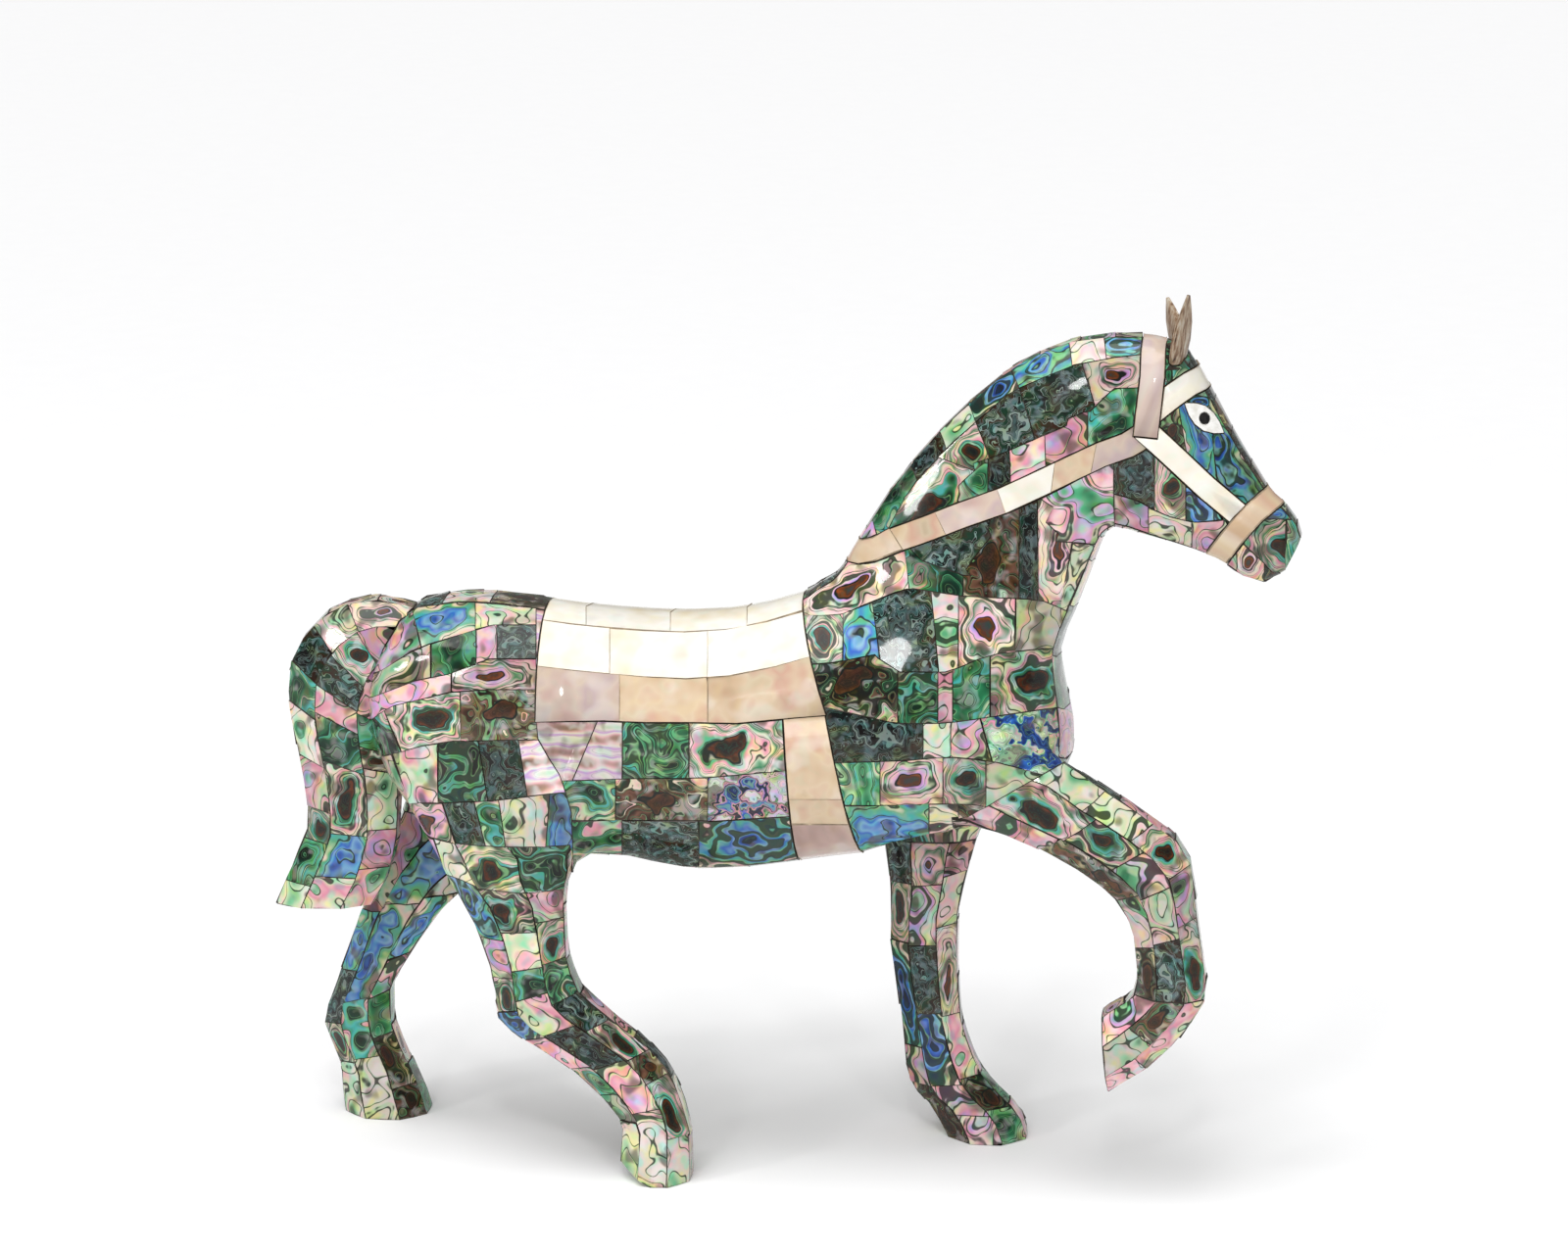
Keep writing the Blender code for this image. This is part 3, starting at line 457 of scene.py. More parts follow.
class Skin:
    """A closed mesh cut into tiles along lines; a tile is a list of its faces and its cut of shell."""

    def __init__(self, name: str, node: str) -> None:
        """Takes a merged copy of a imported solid.

        Args:
            name: Name of the new piece.
            node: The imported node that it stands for.
        """
        self.name = name
        self.node = node
        self.work = bmesh.new()
        self.work.from_mesh(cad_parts[node].data)
        bmesh.ops.remove_doubles(self.work, verts=self.work.verts[:], dist=MERGED)
        bmesh.ops.dissolve_degenerate(self.work, dist=SLIVER, edges=self.work.edges[:])
        bmesh.ops.triangulate(self.work, faces=self.work.faces[:])
        self.seed = self.work.faces.layers.float.new("tile_seed")
        self.work.loops.layers.uv.new("tile_mm")
        self.work.loops.layers.uv.new("tile_span")
        self.notes: dict[bmesh.types.BMVert, dict[str, tuple[float, float, float]]] = {}
        self.spots: dict[bmesh.types.BMVert, tuple[float, float]] = {}
        self.tiles: list[tuple[Faces, Shell]] = []

    def note(self, sheet: Sheet, charts: dict[str, Chart]) -> None:
        """Writes down for each point where it is on the sheet and on each chart.

        Args:
            sheet: The drawing sheet.
            charts: The charts of the carved surfaces.
        """
        verts = self.work.verts[:]
        points = np.array([tuple(v.co) for v in verts])
        for v in verts:
            self.notes[v] = {}
            self.spots[v] = sheet.place(v.co)
        for key, chart in charts.items():
            station, turn, away = chart.read(points)
            for v, s, t, d in zip(verts, station, turn, away):
                self.notes[v][key] = (float(s), float(t), float(d))

    def halve(self, edge: bmesh.types.BMEdge, start: bmesh.types.BMVert, share: float) -> bmesh.types.BMVert:
        """Puts a point on an edge and writes down where it is.

        Args:
            edge: The edge.
            start: The end to measure from.
            share: How far along the edge the point goes, as a share.

        Returns:
            The new point.
        """
        end = edge.other_vert(start)
        _, fresh = bmesh.utils.edge_split(edge, start, share)
        one, two = self.spots[start], self.spots[end]
        self.spots[fresh] = (one[0] + (two[0] - one[0]) * share, one[1] + (two[1] - one[1]) * share)
        places = {}
        for key, (s, t, d) in self.notes[start].items():
            other_s, other_t, other_d = self.notes[end][key]
            full = FULL_TURN if key == "trunk" else ROUND
            step = (other_t - t + full / 2) % full - full / 2
            places[key] = (s + (other_s - s) * share, t + step * share, d + (other_d - d) * share)
        self.notes[fresh] = places
        return fresh

    def split(self, faces: Faces, ahead: Ahead) -> tuple[Faces, Faces]:
        """Cuts faces along the line where a value turns from minus to plus.

        Args:
            faces: The faces to cut.
            ahead: Gives the value at a point.

        Returns:
            The faces where the value is below and above nought.
        """
        value: dict[bmesh.types.BMVert, float] = {}
        for face in faces:
            for v in face.verts:
                if v not in value:
                    value[v] = ahead(v)
        for edge, one, two in self.crossed(faces, value):
            a, b = value[one], value[two]
            if a * b < 0:
                value[self.halve(edge, one, a / (a - b))] = 0.0
        below, above = [], []
        for face in faces:
            for part in self.parts_of(face, value):
                (above if sum(value[v] for v in part.verts) > 0 else below).append(part)
        return below, above

    @staticmethod
    def crossed(faces: Faces, value: dict[bmesh.types.BMVert, float]) -> list[tuple]:
        """Finds the edges that the line crosses; an end close to the line is put on it.

        Args:
            faces: The faces to cut.
            value: The value at each point.

        Returns:
            The edges with their ends, in an order that is the same each run.
        """
        crossing = []
        for edge in dict.fromkeys(edge for face in faces for edge in face.edges):
            one, two = edge.verts
            a, b = value[one], value[two]
            if a * b >= 0:
                continue
            share = a / (a - b)
            length = edge.calc_length()
            if share * length < NEAR_LEVEL:
                value[one] = 0.0
            elif (1 - share) * length < NEAR_LEVEL:
                value[two] = 0.0
            else:
                crossing.append((edge, one, two))
        crossing.sort(key=lambda item: tuple(item[1].co) + tuple(item[2].co))
        return crossing

    @classmethod
    def parts_of(cls, face: bmesh.types.BMFace, value: dict[bmesh.types.BMVert, float]) -> Faces:
        """Cuts a face between the two corners where the line enters and leaves it.

        Args:
            face: The face.
            value: The value at each point.

        Returns:
            The parts, or the face itself where the line passes it by.
        """
        ring = face.verts[:]
        signs = [value[v] for v in ring]
        turning = [k for k, sign in enumerate(signs) if sign == 0.0
                   and cls.sign_from(signs, k, -1) * cls.sign_from(signs, k, 1) < 0]
        if len(turning) >= 2 and (turning[1] - turning[0]) % len(ring) not in (1, len(ring) - 1):
            made = bmesh.utils.face_split(face, ring[turning[0]], ring[turning[1]])
            if made and made[0] is not None:
                return [face, made[0]]
        return [face]

    @staticmethod
    def sign_from(signs: list[float], start: int, step: int) -> float:
        """The first value that isn't nought, going round from a corner.

        Args:
            signs: The values at the corners.
            start: The corner to start from.
            step: 1 to go forward and -1 to go back.

        Returns:
            The value, or nought where there is none.
        """
        for k in range(1, len(signs)):
            value = signs[(start + step * k) % len(signs)]
            if value != 0.0:
                return value
        return 0.0

    def keep(self, faces: Faces, shell: Shell) -> None:
        """Notes a finished tile."""
        if faces:
            self.tiles.append((faces, shell))

    def on_sheet(self, line: Callable[[Sequence[float]], float]) -> Ahead:
        """A value of points by a line on the sheet."""
        return lambda v: line(self.spots[v])

    def station(self, key: str, at: float) -> Ahead:
        """A value of points by their station on a chart."""
        return lambda v: self.notes[v][key][0] - at

    def turn_of(self, key: str, part_of: Callable[[float], float]) -> Ahead:
        """A value of points by the sine or cosine of their turn on a limb's chart."""
        return lambda v: part_of(math.radians(SIXTEENTH * self.notes[v][key][1]))

    def away(self, key: str) -> Ahead:
        """A value of points by their distance from a carved surface."""
        return lambda v: self.notes[v][key][2]

    def folded(self, at: float) -> Ahead:
        """A value of points by how high round the trunk's section they are, the same on both sides.

        Args:
            at: The section angle where the value is nought, in degrees.

        Returns:
            Gives the value at a point.
        """

        def height(v: bmesh.types.BMVert) -> float:
            """The point's section angle, less the given one."""
            turn = math.radians(self.notes[v]["trunk"][1])
            return math.degrees(math.atan2(math.sin(turn), abs(math.cos(turn)))) - at

        return height

    @staticmethod
    def mean(face: bmesh.types.BMFace, value: Ahead) -> float:
        """The middle value of a face."""
        return sum(value(v) for v in face.verts) / len(face.verts)

    def share_small_tiles(self) -> None:
        """Gives every scrap of a tile to the neighbour that it meets longest."""
        groups = {number: list(faces) for number, (faces, _) in enumerate(self.tiles)}
        owner = {face: number for number, faces in groups.items() for face in faces}
        for number in sorted(groups, key=lambda n: total_area(groups[n])):
            for island in self.islands(groups[number]):
                if total_area(island) > SMALLEST_TILE:
                    continue
                meets: dict[int, float] = defaultdict(float)
                for face in island:
                    for edge in face.edges:
                        for other in edge.link_faces:
                            if other in owner and owner[other] != number:
                                meets[owner[other]] += edge.calc_length()
                if meets:
                    best = max(sorted(meets), key=lambda n: meets[n])
                    for face in island:
                        owner[face] = best
                    gone = set(island)
                    groups[best].extend(island)
                    groups[number] = [face for face in groups[number] if face not in gone]
        self.tiles = [(island, shell) for number, (_, shell) in enumerate(self.tiles)
                      for island in self.islands(groups[number])]

    @staticmethod
    def islands(faces: Faces) -> list[Faces]:
        """Parts of a list of faces that hang together by edges.

        Args:
            faces: The faces.

        Returns:
            The parts.
        """
        left = dict.fromkeys(faces)
        parts = []
        while left:
            start = next(iter(left))
            del left[start]
            part, edge_of = [start], [start]
            while edge_of:
                face = edge_of.pop()
                for edge in face.edges:
                    for other in edge.link_faces:
                        if other in left:
                            del left[other]
                            part.append(other)
                            edge_of.append(other)
            parts.append(part)
        return parts

    @staticmethod
    def flatten(ground: list[tuple[Faces, Lie]], share: float, rng: random.Random) -> None:
        """Grinds each tile flatter, at a slight slant of its own.

        Args:
            ground: Each tile's faces and lie.
            share: How much of its roundness is taken off.
            rng: Draws the slants.
        """
        for faces, lie in ground:
            verts = list(dict.fromkeys(v for face in faces for v in face.verts))
            mean = sum((v.co.dot(lie.normal) for v in verts)) / len(verts)
            slant = Vector([rng.uniform(-SLANT, SLANT) * share for _ in range(3)])
            for vert in verts:
                off = (mean - vert.co.dot(lie.normal)) * share + (vert.co - lie.centre).dot(slant)
                vert.co += lie.normal * max(-MOST_GROUND, min(MOST_GROUND, off))
                vert.co.z = max(vert.co.z, 0.0)

    def joint_points(self) -> dict[tuple[float, ...], Vector]:
        """Finds the points that lie on joints.

        Returns:
            For each such place, the way out of the surface there.
        """
        owner = {face: number for number, (faces, _) in enumerate(self.tiles) for face in faces}
        found: dict[tuple[float, ...], Vector] = {}
        for vert in self.work.verts:
            owners = {owner.get(face, -1) for face in vert.link_faces}
            if len(owners) > 1:
                way = Vector()
                for face in vert.link_faces:
                    if face in owner:
                        way += face.normal * face.calc_area()
                found[tuple(vert.co)] = way.normalized()
        return found

    def inlay(self, faces: Faces, slots: tuple[int, int], half: float, seed: float) -> Lie:
        """Opens the joint round one tile and gives the tile its own coordinates.

        Args:
            faces: The tile's faces.
            slots: The material slots of the tile and of its filler.
            half: Half the width of the joint.
            seed: The tile's own number.

        Returns:
            How the tile lies.
        """
        laid, span = self.work.loops.layers.uv["tile_mm"], self.work.loops.layers.uv["tile_span"]
        lie = Lie.of(faces)
        inset = bmesh.ops.inset_region(self.work, faces=faces, thickness=half, depth=0.0, use_boundary=True,
                                       use_even_offset=False, use_interpolate=False)
        for rim in inset["faces"]:
            rim.material_index = slots[1]
            rim.smooth = False
            rim[self.seed] = seed
        for face in faces:
            face.material_index = slots[0]
            face.smooth = True
            face[self.seed] = seed
            for loop in face.loops:
                one, two = lie.place(loop.vert.co)
                loop[laid].uv = (one / MM, two / MM)
                loop[span].uv = (one / lie.reach[0], two / lie.reach[1])
        return lie

    def finish(self, slots: dict[Shell, int], rng: random.Random, joint: Joint) -> bpy.types.Object:
        """Opens the joints, grinds the tiles and makes the object.

        Args:
            slots: The material slot of each cut of shell.
            rng: Draws each tile's seed and slant.
            joint: How the tiles meet.

        Returns:
            The new object, which stands for the node.
        """
        work, filler = self.work, slots[joint.filler]
        for face in work.faces:
            face.material_index = filler
            face.smooth = False
        sunk = self.joint_points()
        ground = []
        for faces, shell in self.tiles:
            ground.append((faces, self.inlay(faces, (slots[shell], filler), joint.half, rng.random())))
        self.flatten(ground, joint.flat_share, rng)
        for vert in work.verts:
            way = sunk.get(tuple(vert.co))
            if way is not None:
                vert.co -= way * joint.depth
                vert.co.z = max(vert.co.z, 0.0)
        for edge in work.edges:
            kinds = {face.material_index for face in edge.link_faces}
            edge.smooth = len(kinds) == 1 and filler not in kinds
        return placed(self.name, self.node, work)


def placed(name: str, node: str, work: bmesh.types.BMesh) -> bpy.types.Object:
    """Makes an object of a finished mesh and lets it stand for a node.

    Args:
        name: Name of the new piece.
        node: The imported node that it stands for.
        work: The finished mesh, which is freed.

    Returns:
        The object.
    """
    mesh = bpy.data.meshes.new(name)
    work.to_mesh(mesh)
    work.free()
    made = bpy.data.objects.new(name, mesh)
    bpy.context.scene.collection.objects.link(made)
    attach(made, BODY)
    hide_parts(node)
    return made


# Tile layout on the sheet


@dataclass(frozen=True)
class Row:
    """One row of tiles: its lower edge, the joints from left to right and a letter for each tile."""

    lower: Line
    joints: tuple[float | tuple[float, float], ...]
    shells: str


@dataclass(frozen=True)
class Panel:
    """A part of the side, left of a dividing line, as rows from the top down."""

    name: str
    right: Line
    rows: tuple[Row, ...]


SIDE_PANELS = (
    Panel("rump", ((547, 560), (547, 737), (549, 757), (582, 808), (586, 900)), (
        Row(((378, 690), (428, 660), (486, 643), (488, 638), (552, 638)), ((418, 430), 485), "PBW"),
        Row(((378, 712), (436, 690), (460, 688), (484, 672), (552, 673)), (440, 486, 507), "WGPK"),
        Row(((378, 735), (395, 722), (470, 704), (552, 704)), (461,), "PS"),
        Row(((378, 775), (416, 766), (446, 757), (552, 755)), ((392, 410), 470), "GRD"),
        Row(((378, 830), (410, 820), (446, 820), (498, 818), (540, 813), (582, 808)),
            ((400, 418), 447, (488, 498), (529, 538)), "WPGKF"),
        Row(((378, 990), (600, 990)), ((416, 432), (452, 470), (484, 498), (509, 517), (561, 556)), "WSKGWB"),
    )),
    Panel("flank", ((798, 560), (798, 731), (805, 790), (812, 840), (816, 900)), (
        Row(((548, 797), (582, 797), (635, 795), (720, 794), (800, 787)), ((603, 584), 635, 703), "FFGR"),
        Row(((582, 838), (635, 837), (722, 838), (812, 833)), (628, 722), "GDC"),
        Row(((582, 990), (815, 990)), (635, 713), "GKB"),
    )),
    Panel("shoulder", ((1400, 560), (1400, 900)), (
        Row(((842, 560), (925, 556), (940, 572), (985, 588), (1013, 586), (1016, 400), (1061, 400),
             (1062, 552), (1124, 556)), (1040,), "KP"),
        Row(((842, 628), (862, 626), (926, 600), (985, 609), (1062, 612), (1125, 640)),
            ((922, 928), 983, 1040, (1056, 1060), (1094, 1082)), "SGDKSW"),
        Row(((842, 678), (895, 668), (906, 686), (968, 686), (1010, 668), (1078, 661), (1110, 665)),
            (860, (890, 898), (950, 958), 978, 1036), "RBKWSW"),
        Row(((842, 722), (916, 739), (970, 738), (1010, 732), (1080, 722), (1110, 722)),
            (916, 957, 972, 1010), "DGPGR"),
        Row(((846, 779), (940, 776), (962, 772), (1008, 776), (1086, 796)), (942, 970, (1000, 1012)), "KWPC"),
        Row(((858, 822), (898, 822), (962, 820), (1006, 822), (1040, 850)), (898, 962, 1006), "GSRW"),
        Row(((842, 990), (1100, 990)), (948, 978), "BWD"),
    )),
)
NECK_PANEL = Panel("neck", ((1400, 300), (1400, 900)), (
    Row(((880, 575), (898, 556), (905, 545), (925, 503), (945, 480), (962, 462), (985, 440), (1005, 424),
         (1030, 400), (1050, 392), (1090, 374), (1125, 366), (1166, 362)),
        ((884, 898), (916, 936), (948, 966), (978, 996), (1020, 1040), (1088, 1094), (1124, 1129)),
        "PGKWBBWB"),
    Row(((880, 600), (978, 524), (982, 476), (1008, 469), (1050, 451), (1106, 427), (1108, 397), (1160, 396)),
        ((900, 934), (950, 982), (996, 1010), (1040, 1056), (1104, 1112)), "PRRKKS"),
    Row(((880, 900), (1400, 900)), (1008, (1030, 1046), (1066, 1080), 1110), "GKPPG"),
))
HEAD_PANEL = Panel("head", ((1400, 300), (1400, 900)), (
    Row(((1120, 400), (1200, 400), (1260, 410)), (1196,), "GG"),
    Row(((1120, 440), (1180, 446), (1260, 530), (1270, 530)), ((1200, 1214), (1233, 1244)), "DBB"),
    Row(((1120, 500), (1160, 510), (1186, 526), (1222, 534), (1250, 530), (1262, 548), (1300, 586)),
        (1178, 1210, 1268, 1312), "KRBRG"),
    Row(((1120, 900), (1400, 900)), (1172, 1216, 1262, 1290), "PWPSD"),
))


@dataclass(frozen=True)
class Column:
    """Joints down a facet of a leg or along the body, by section number, with a letter for each tile."""

    joints: tuple[float, ...]
    shells: str


COLUMNS: dict[str, dict[int, Column]] = {
    "near_hind": {
        9: Column((1.1, 3.05, 4.35, 5.75, 7.6, 9.6, 11.4, 13.3), "WBPRBPGWW"),
        11: Column((1.2, 2.75, 4.05, 5.35, 7.5, 9.8, 12.7), "RRPGPKPW"),
        13: Column((1.2, 2.4, 3.95, 6.0, 8.0, 9.9, 11.4, 14.2), "GPRGKRDRW"),
    },
    "near_fore": {
        9: Column((2.6, 6.1, 8.4, 10.9), "PDWDP"),
        11: Column((2.7, 4.6, 6.3, 8.3, 10.9, 13.2), "RRPWKDW"),
        13: Column((2.2, 4.0, 6.0, 7.9, 10.9, 13.9), "WWRPRPP"),
    },
    "far_fore": {
        9: Column((2.5, 4.9, 9.2, 11.2), "KRBPD"),
        11: Column((2.6, 5.0, 7.7, 11.2, 13.4), "SPKBPP"),
        13: Column((2.3, 4.4, 7.8, 10.9, 13.0), "PWSPDG"),
    },
    "far_hind": {
        9: Column((2.7, 4.6, 7.0, 9.3), "PBKRW"),
        11: Column((2.5, 5.9, 9.1), "BBGW"),
        13: Column((2.3, 4.4, 6.0, 8.2, 11.0), "WBPGDD"),
    },
    "tail": {
        9: Column((2.9, 4.4, 5.9, 7.3, 9.2, 11.0, 12.4, 14.2), "SWKGWPRGW"),
        11: Column((1.2, 3.0, 4.5, 5.9, 7.0, 8.9, 11.9, 13.8), "SPRKPGRBP"),
        13: Column((4.0, 6.0, 7.6, 8.6, 11.6, 13.4), "PPGDWPP"),
    },
}
LEG_MIX = "PPPPWWWGGGRRSSKDB"
SIDE_MIX = "RRGGBBKKPPWWSSDCF"

# Strips along the body, by station: the crest, the brow, under the jaw, the back and the belly
CREST = Column((17.2, 18.6, 19.7, 20.8, 21.7, 22.6, 23.4, 24.2, 25.0), "PDWPDDPWPW")
BROW = Column((27.2, 28.6, 29.6, 30.8, 32.4, 33.2, 34.2), "GKDKDWKD")
JAW = Column((26.2, 27.8, 29.4, 30.9, 32.6, 33.9), "PWPWPWD")
BACK = Column((0.9, 2.2, 3.4, 4.6, 5.8, 12.0, 13.2, 14.3, 15.2), "DPWKWDDKDD")
BELLY = Column((1.5, 2.6, 3.7, 4.8, 5.9, 6.9, 7.8, 8.6, 9.4, 10.2, 11.0, 12.0, 12.9, 13.6, 14.3, 15.0, 15.7,
                16.6, 17.7, 18.9, 20.2, 21.5, 22.7, 23.8), "PWPGPWKPWPWGKGPDKGPGKWPGP")
CREST_FROM, BROW_FROM, BACK_FROM = 80.0, 62.0, 77.0
JAW_BELOW, BELLY_BELOW = -60.0, -62.0

# Where the neck, the throat and the head begin, and the rein's middle line by station and section angle
NECK_FROM, THROAT_FROM, HEAD_FROM, NECK_TO = 16.1, 25.0, 26.05, 26.4
REIN = ((16.1, 90.0), (16.45, 71.0), (17.0, 60.5), (17.8, 49.0), (18.9, 33.6), (19.9, 20.9), (21.0, 7.2),
        (22.2, -2.5), (23.2, -5.7), (24.4, -4.3), (25.6, -1.0), (26.4, 3.5))


@dataclass(frozen=True)
class LegPlace:
    """Where a leg leaves the trunk: its side, its reach along the horse and the line above it."""

    key: str
    side: int
    from_x: float
    to_x: float
    above: Line | None
    height: float
    sure_height: float


LEG_PLACES = (
    LegPlace("near_hind", -1, -0.14, -0.0585, None, 0.1045, 0.091),
    LegPlace("near_fore", -1, 0.0535, 0.14, ((985, 836), (1056, 795), (1104, 768)), 0.13, 0.089),
    LegPlace("far_hind", 1, -0.14, -0.066, None, 0.099, 0.088),
    LegPlace("far_fore", 1, 0.02, 0.068, None, 0.0955, 0.090),
)


@dataclass
class Horse:
    """The carved horse, clad all over in abalone tiles."""

    sheet: Sheet
    slots: dict[Shell, int]
    materials: list[bpy.types.Material]
    rng: random.Random
    charts: dict[str, Chart] = field(default_factory=dict)
    pocket_depth: float = 2.6 * MM
    touching: float = 0.001 * MM
    pocket_facing: float = 0.3
    tail_before_x: float = -0.104
    tail_off: float = 0.5 * MM
    tail_merged: float = 0.05 * MM
    leg_headroom: float = 0.012
    leg_off: float = 0.3 * MM
    leg_outside: float = 0.016
    leg_outside_from: float = -58.0
    leg_from: float = -80.0
    sole_height: float = 0.4 * MM
    sole_sections: float = 0.06
    first_joint: tuple[float, float] = (1.4, 2.8)
    joint_step: tuple[float, float] = (1.9, 3.0)
    last_tile: float = 1.2
    short_row: float = 12.0
    open_row: float = 45.0
    lowest_row: float = 875.0

    def survey(self) -> None:
        """Samples the carved surfaces."""
        self.charts["trunk"] = Chart(trunk_points, len(SPINE) - 1.0, np.arange(-90.0, 270.0, 3.0))
        for key, limb in LIMBS.items():
            self.charts[key] = Chart(limb.points, float(limb.last), np.arange(0.0, ROUND, 0.5))

    def build(self) -> bpy.types.Object:
        """Cuts the body's surface into tiles.

        Returns:
            The tiled body.
        """
        skin = Skin("abalone_tiles", "horse_body")
        skin.note(self.sheet, self.charts)
        trunk, tail = self.tail_faces(skin, self.without_pockets(skin))
        for place in LEG_PLACES:
            trunk, leg = self.leg_faces(skin, trunk, place)
            self.lay_limb(skin, place.key, leg)
        self.lay_limb(skin, "tail", tail)
        self.lay_trunk(skin, trunk)
        skin.share_small_tiles()
        log.info("%s: %d tiles", skin.name, len(skin.tiles))
        made = skin.finish(self.slots, self.rng, TILE_JOINT)
        for finish in self.materials:
            made.data.materials.append(finish)
        return made

    def without_pockets(self, skin: Skin) -> Faces:
        """Finds the open surface, without the pockets that straps, eyes and ears sit in.

        Args:
            skin: The body's skin.

        Returns:
            The faces of the open surface.
        """
        corners, sides = [], []
        for name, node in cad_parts.items():
            if name == "horse_body":
                continue
            first = len(corners)
            corners.extend(v.co.copy() for v in node.data.vertices)
            sides.extend(tuple(first + k for k in face.vertices) for face in node.data.polygons)
        lying = BVHTree.FromPolygons(corners, sides)
        kept = []
        for face in skin.work.faces:
            spot = face.calc_center_median()
            near, _, _, away = lying.find_nearest(spot, self.pocket_depth)
            clear = near is None or away <= self.touching
            if clear or (near - spot).normalized().dot(face.normal) <= self.pocket_facing:
                kept.append(face)
        return kept

    def tail_faces(self, skin: Skin, faces: Faces) -> tuple[Faces, Faces]:
        """Parts the faces of the tail from the others.

        Args:
            skin: The body's skin.
            faces: The faces of the open surface.

        Returns:
            The other faces and the tail's faces.
        """
        tail, rest = [], []
        for face in faces:
            away, body = skin.mean(face, skin.away("tail")), skin.mean(face, skin.away("trunk"))
            behind = face.calc_center_median().x < self.tail_before_x
            nearer = away < body or body < self.tail_merged
            (tail if behind and away < self.tail_off and nearer else rest).append(face)
        return rest, tail

    def leg_faces(self, skin: Skin, faces: Faces, place: LegPlace) -> tuple[Faces, Faces]:
        """Parts a leg's faces from the others.

        Args:
            skin: The body's skin.
            faces: The faces left so far.
            place: Where the leg is.

        Returns:
            The other faces and the leg's faces.
        """
        near, rest = [], []
        for face in faces:
            spot = face.calc_center_median()
            inside = (spot.y - MIDDLE) * place.side > 0 and spot.z < place.height + self.leg_headroom
            (near if inside and spot.x * place.from_x > 0 else rest).append(face)
        edges = (
            skin.on_sheet(level_line(place.above)) if place.above else lambda v: place.height - v.co.z,
            lambda v: min(place.from_x - v.co.x, v.co.z - place.sure_height),
            lambda v: min(v.co.x - place.to_x, v.co.z - place.sure_height),
        )
        above, below = skin.split(near, edges[0])
        rest += above
        for edge in edges[1:]:
            below, beside = skin.split(below, edge)
            rest += beside
        leg = []
        for face in below:
            (leg if self.on_leg(skin, face, place) else rest).append(face)
        return rest, leg

    def on_leg(self, skin: Skin, face: bmesh.types.BMFace, place: LegPlace) -> bool:
        """Tells whether a face at a leg's root is the leg's.

        Args:
            skin: The body's skin.
            face: The face.
            place: Where the leg is.

        Returns:
            True for a face of the leg.
        """
        spot = face.calc_center_median()
        away, body = skin.mean(face, skin.away(place.key)), skin.mean(face, skin.away("trunk"))
        high = skin.mean(face, skin.folded(0.0))
        outside = high > self.leg_outside_from and abs(spot.y - MIDDLE) > self.leg_outside
        nearer = away < body + self.leg_off and high > self.leg_from
        return spot.z < place.sure_height or outside or nearer

    def lay_limb(self, skin: Skin, key: str, faces: Faces) -> None:
        """Lays a leg or the tail: eight columns, each with its joints.

        Args:
            skin: The body's skin.
            key: Which limb it is.
            faces: The limb's faces.
        """
        end = LIMBS[key].last - self.sole_sections
        sole, upper = [], []
        for face in faces:
            at = skin.mean(face, skin.station(key, 0.0))
            raised = at > end and key in ("near_fore", "tail")
            (sole if raised or face.calc_center_median().z < self.sole_height else upper).append(face)
        skin.keep(sole, Shell.ROSE)
        parts = [upper]
        for k in (1, 3, 5, 7):
            parts = [half for part in parts for half in skin.split(part, self.column_edge(skin, key, k))]
        for part in parts:
            if part:
                shown = COLUMNS[key].get(self.column_of(skin, key, part))
                self.run(skin, part, shown or self.free_column(LIMBS[key].last), key)

    @staticmethod
    def column_edge(skin: Skin, key: str, at: int) -> Ahead:
        """A value that is nought on two opposite edges of a limb's eight sides."""
        return lambda v: math.sin(math.radians(SIXTEENTH * (skin.notes[v][key][1] - at))) * 0.01

    @staticmethod
    def column_of(skin: Skin, key: str, part: Faces) -> int:
        """Finds which of a limb's eight columns some faces are.

        Args:
            skin: The body's skin.
            key: Which limb it is.
            part: The faces of the column.

        Returns:
            The turn of the column's first edge, in sixteenths of a round.
        """

        def turned(part_of: Callable[[float], float]) -> float:
            """The sum of a part of the faces' turns."""
            turn = skin.turn_of(key, part_of)
            return sum(skin.mean(face, turn) for face in part)

        middle = math.degrees(math.atan2(turned(math.sin), turned(math.cos))) / SIXTEENTH % ROUND
        return (int(round((middle - 2) / 2)) * 2 + 1) % int(ROUND)

    def free_column(self, last: int) -> Column:
        """Draws a column that the sheet doesn't show.

        Args:
            last: The limb's last section.

        Returns:
            The column.
        """
        joints, at = [], self.rng.uniform(*self.first_joint)
        while at < last - self.last_tile:
            joints.append(at)
            at += self.rng.uniform(*self.joint_step)
        return Column(tuple(joints), "".join(self.rng.choice(LEG_MIX) for _ in range(len(joints) + 1)))

    @staticmethod
    def run(skin: Skin, faces: Faces, column: Column, key: str = "trunk") -> None:
        """Lays a strip of tiles with joints at the given stations.

        Args:
            skin: The body's skin.
            faces: The strip's faces.
            column: Its joints and shells.
            key: The chart that the stations are read on.
        """
        left = faces
        for joint, letter in zip(column.joints, column.shells):
            tile, left = skin.split(left, skin.station(key, joint))
            skin.keep(tile, Shell(letter))
        skin.keep(left, Shell(column.shells[len(column.joints)]))

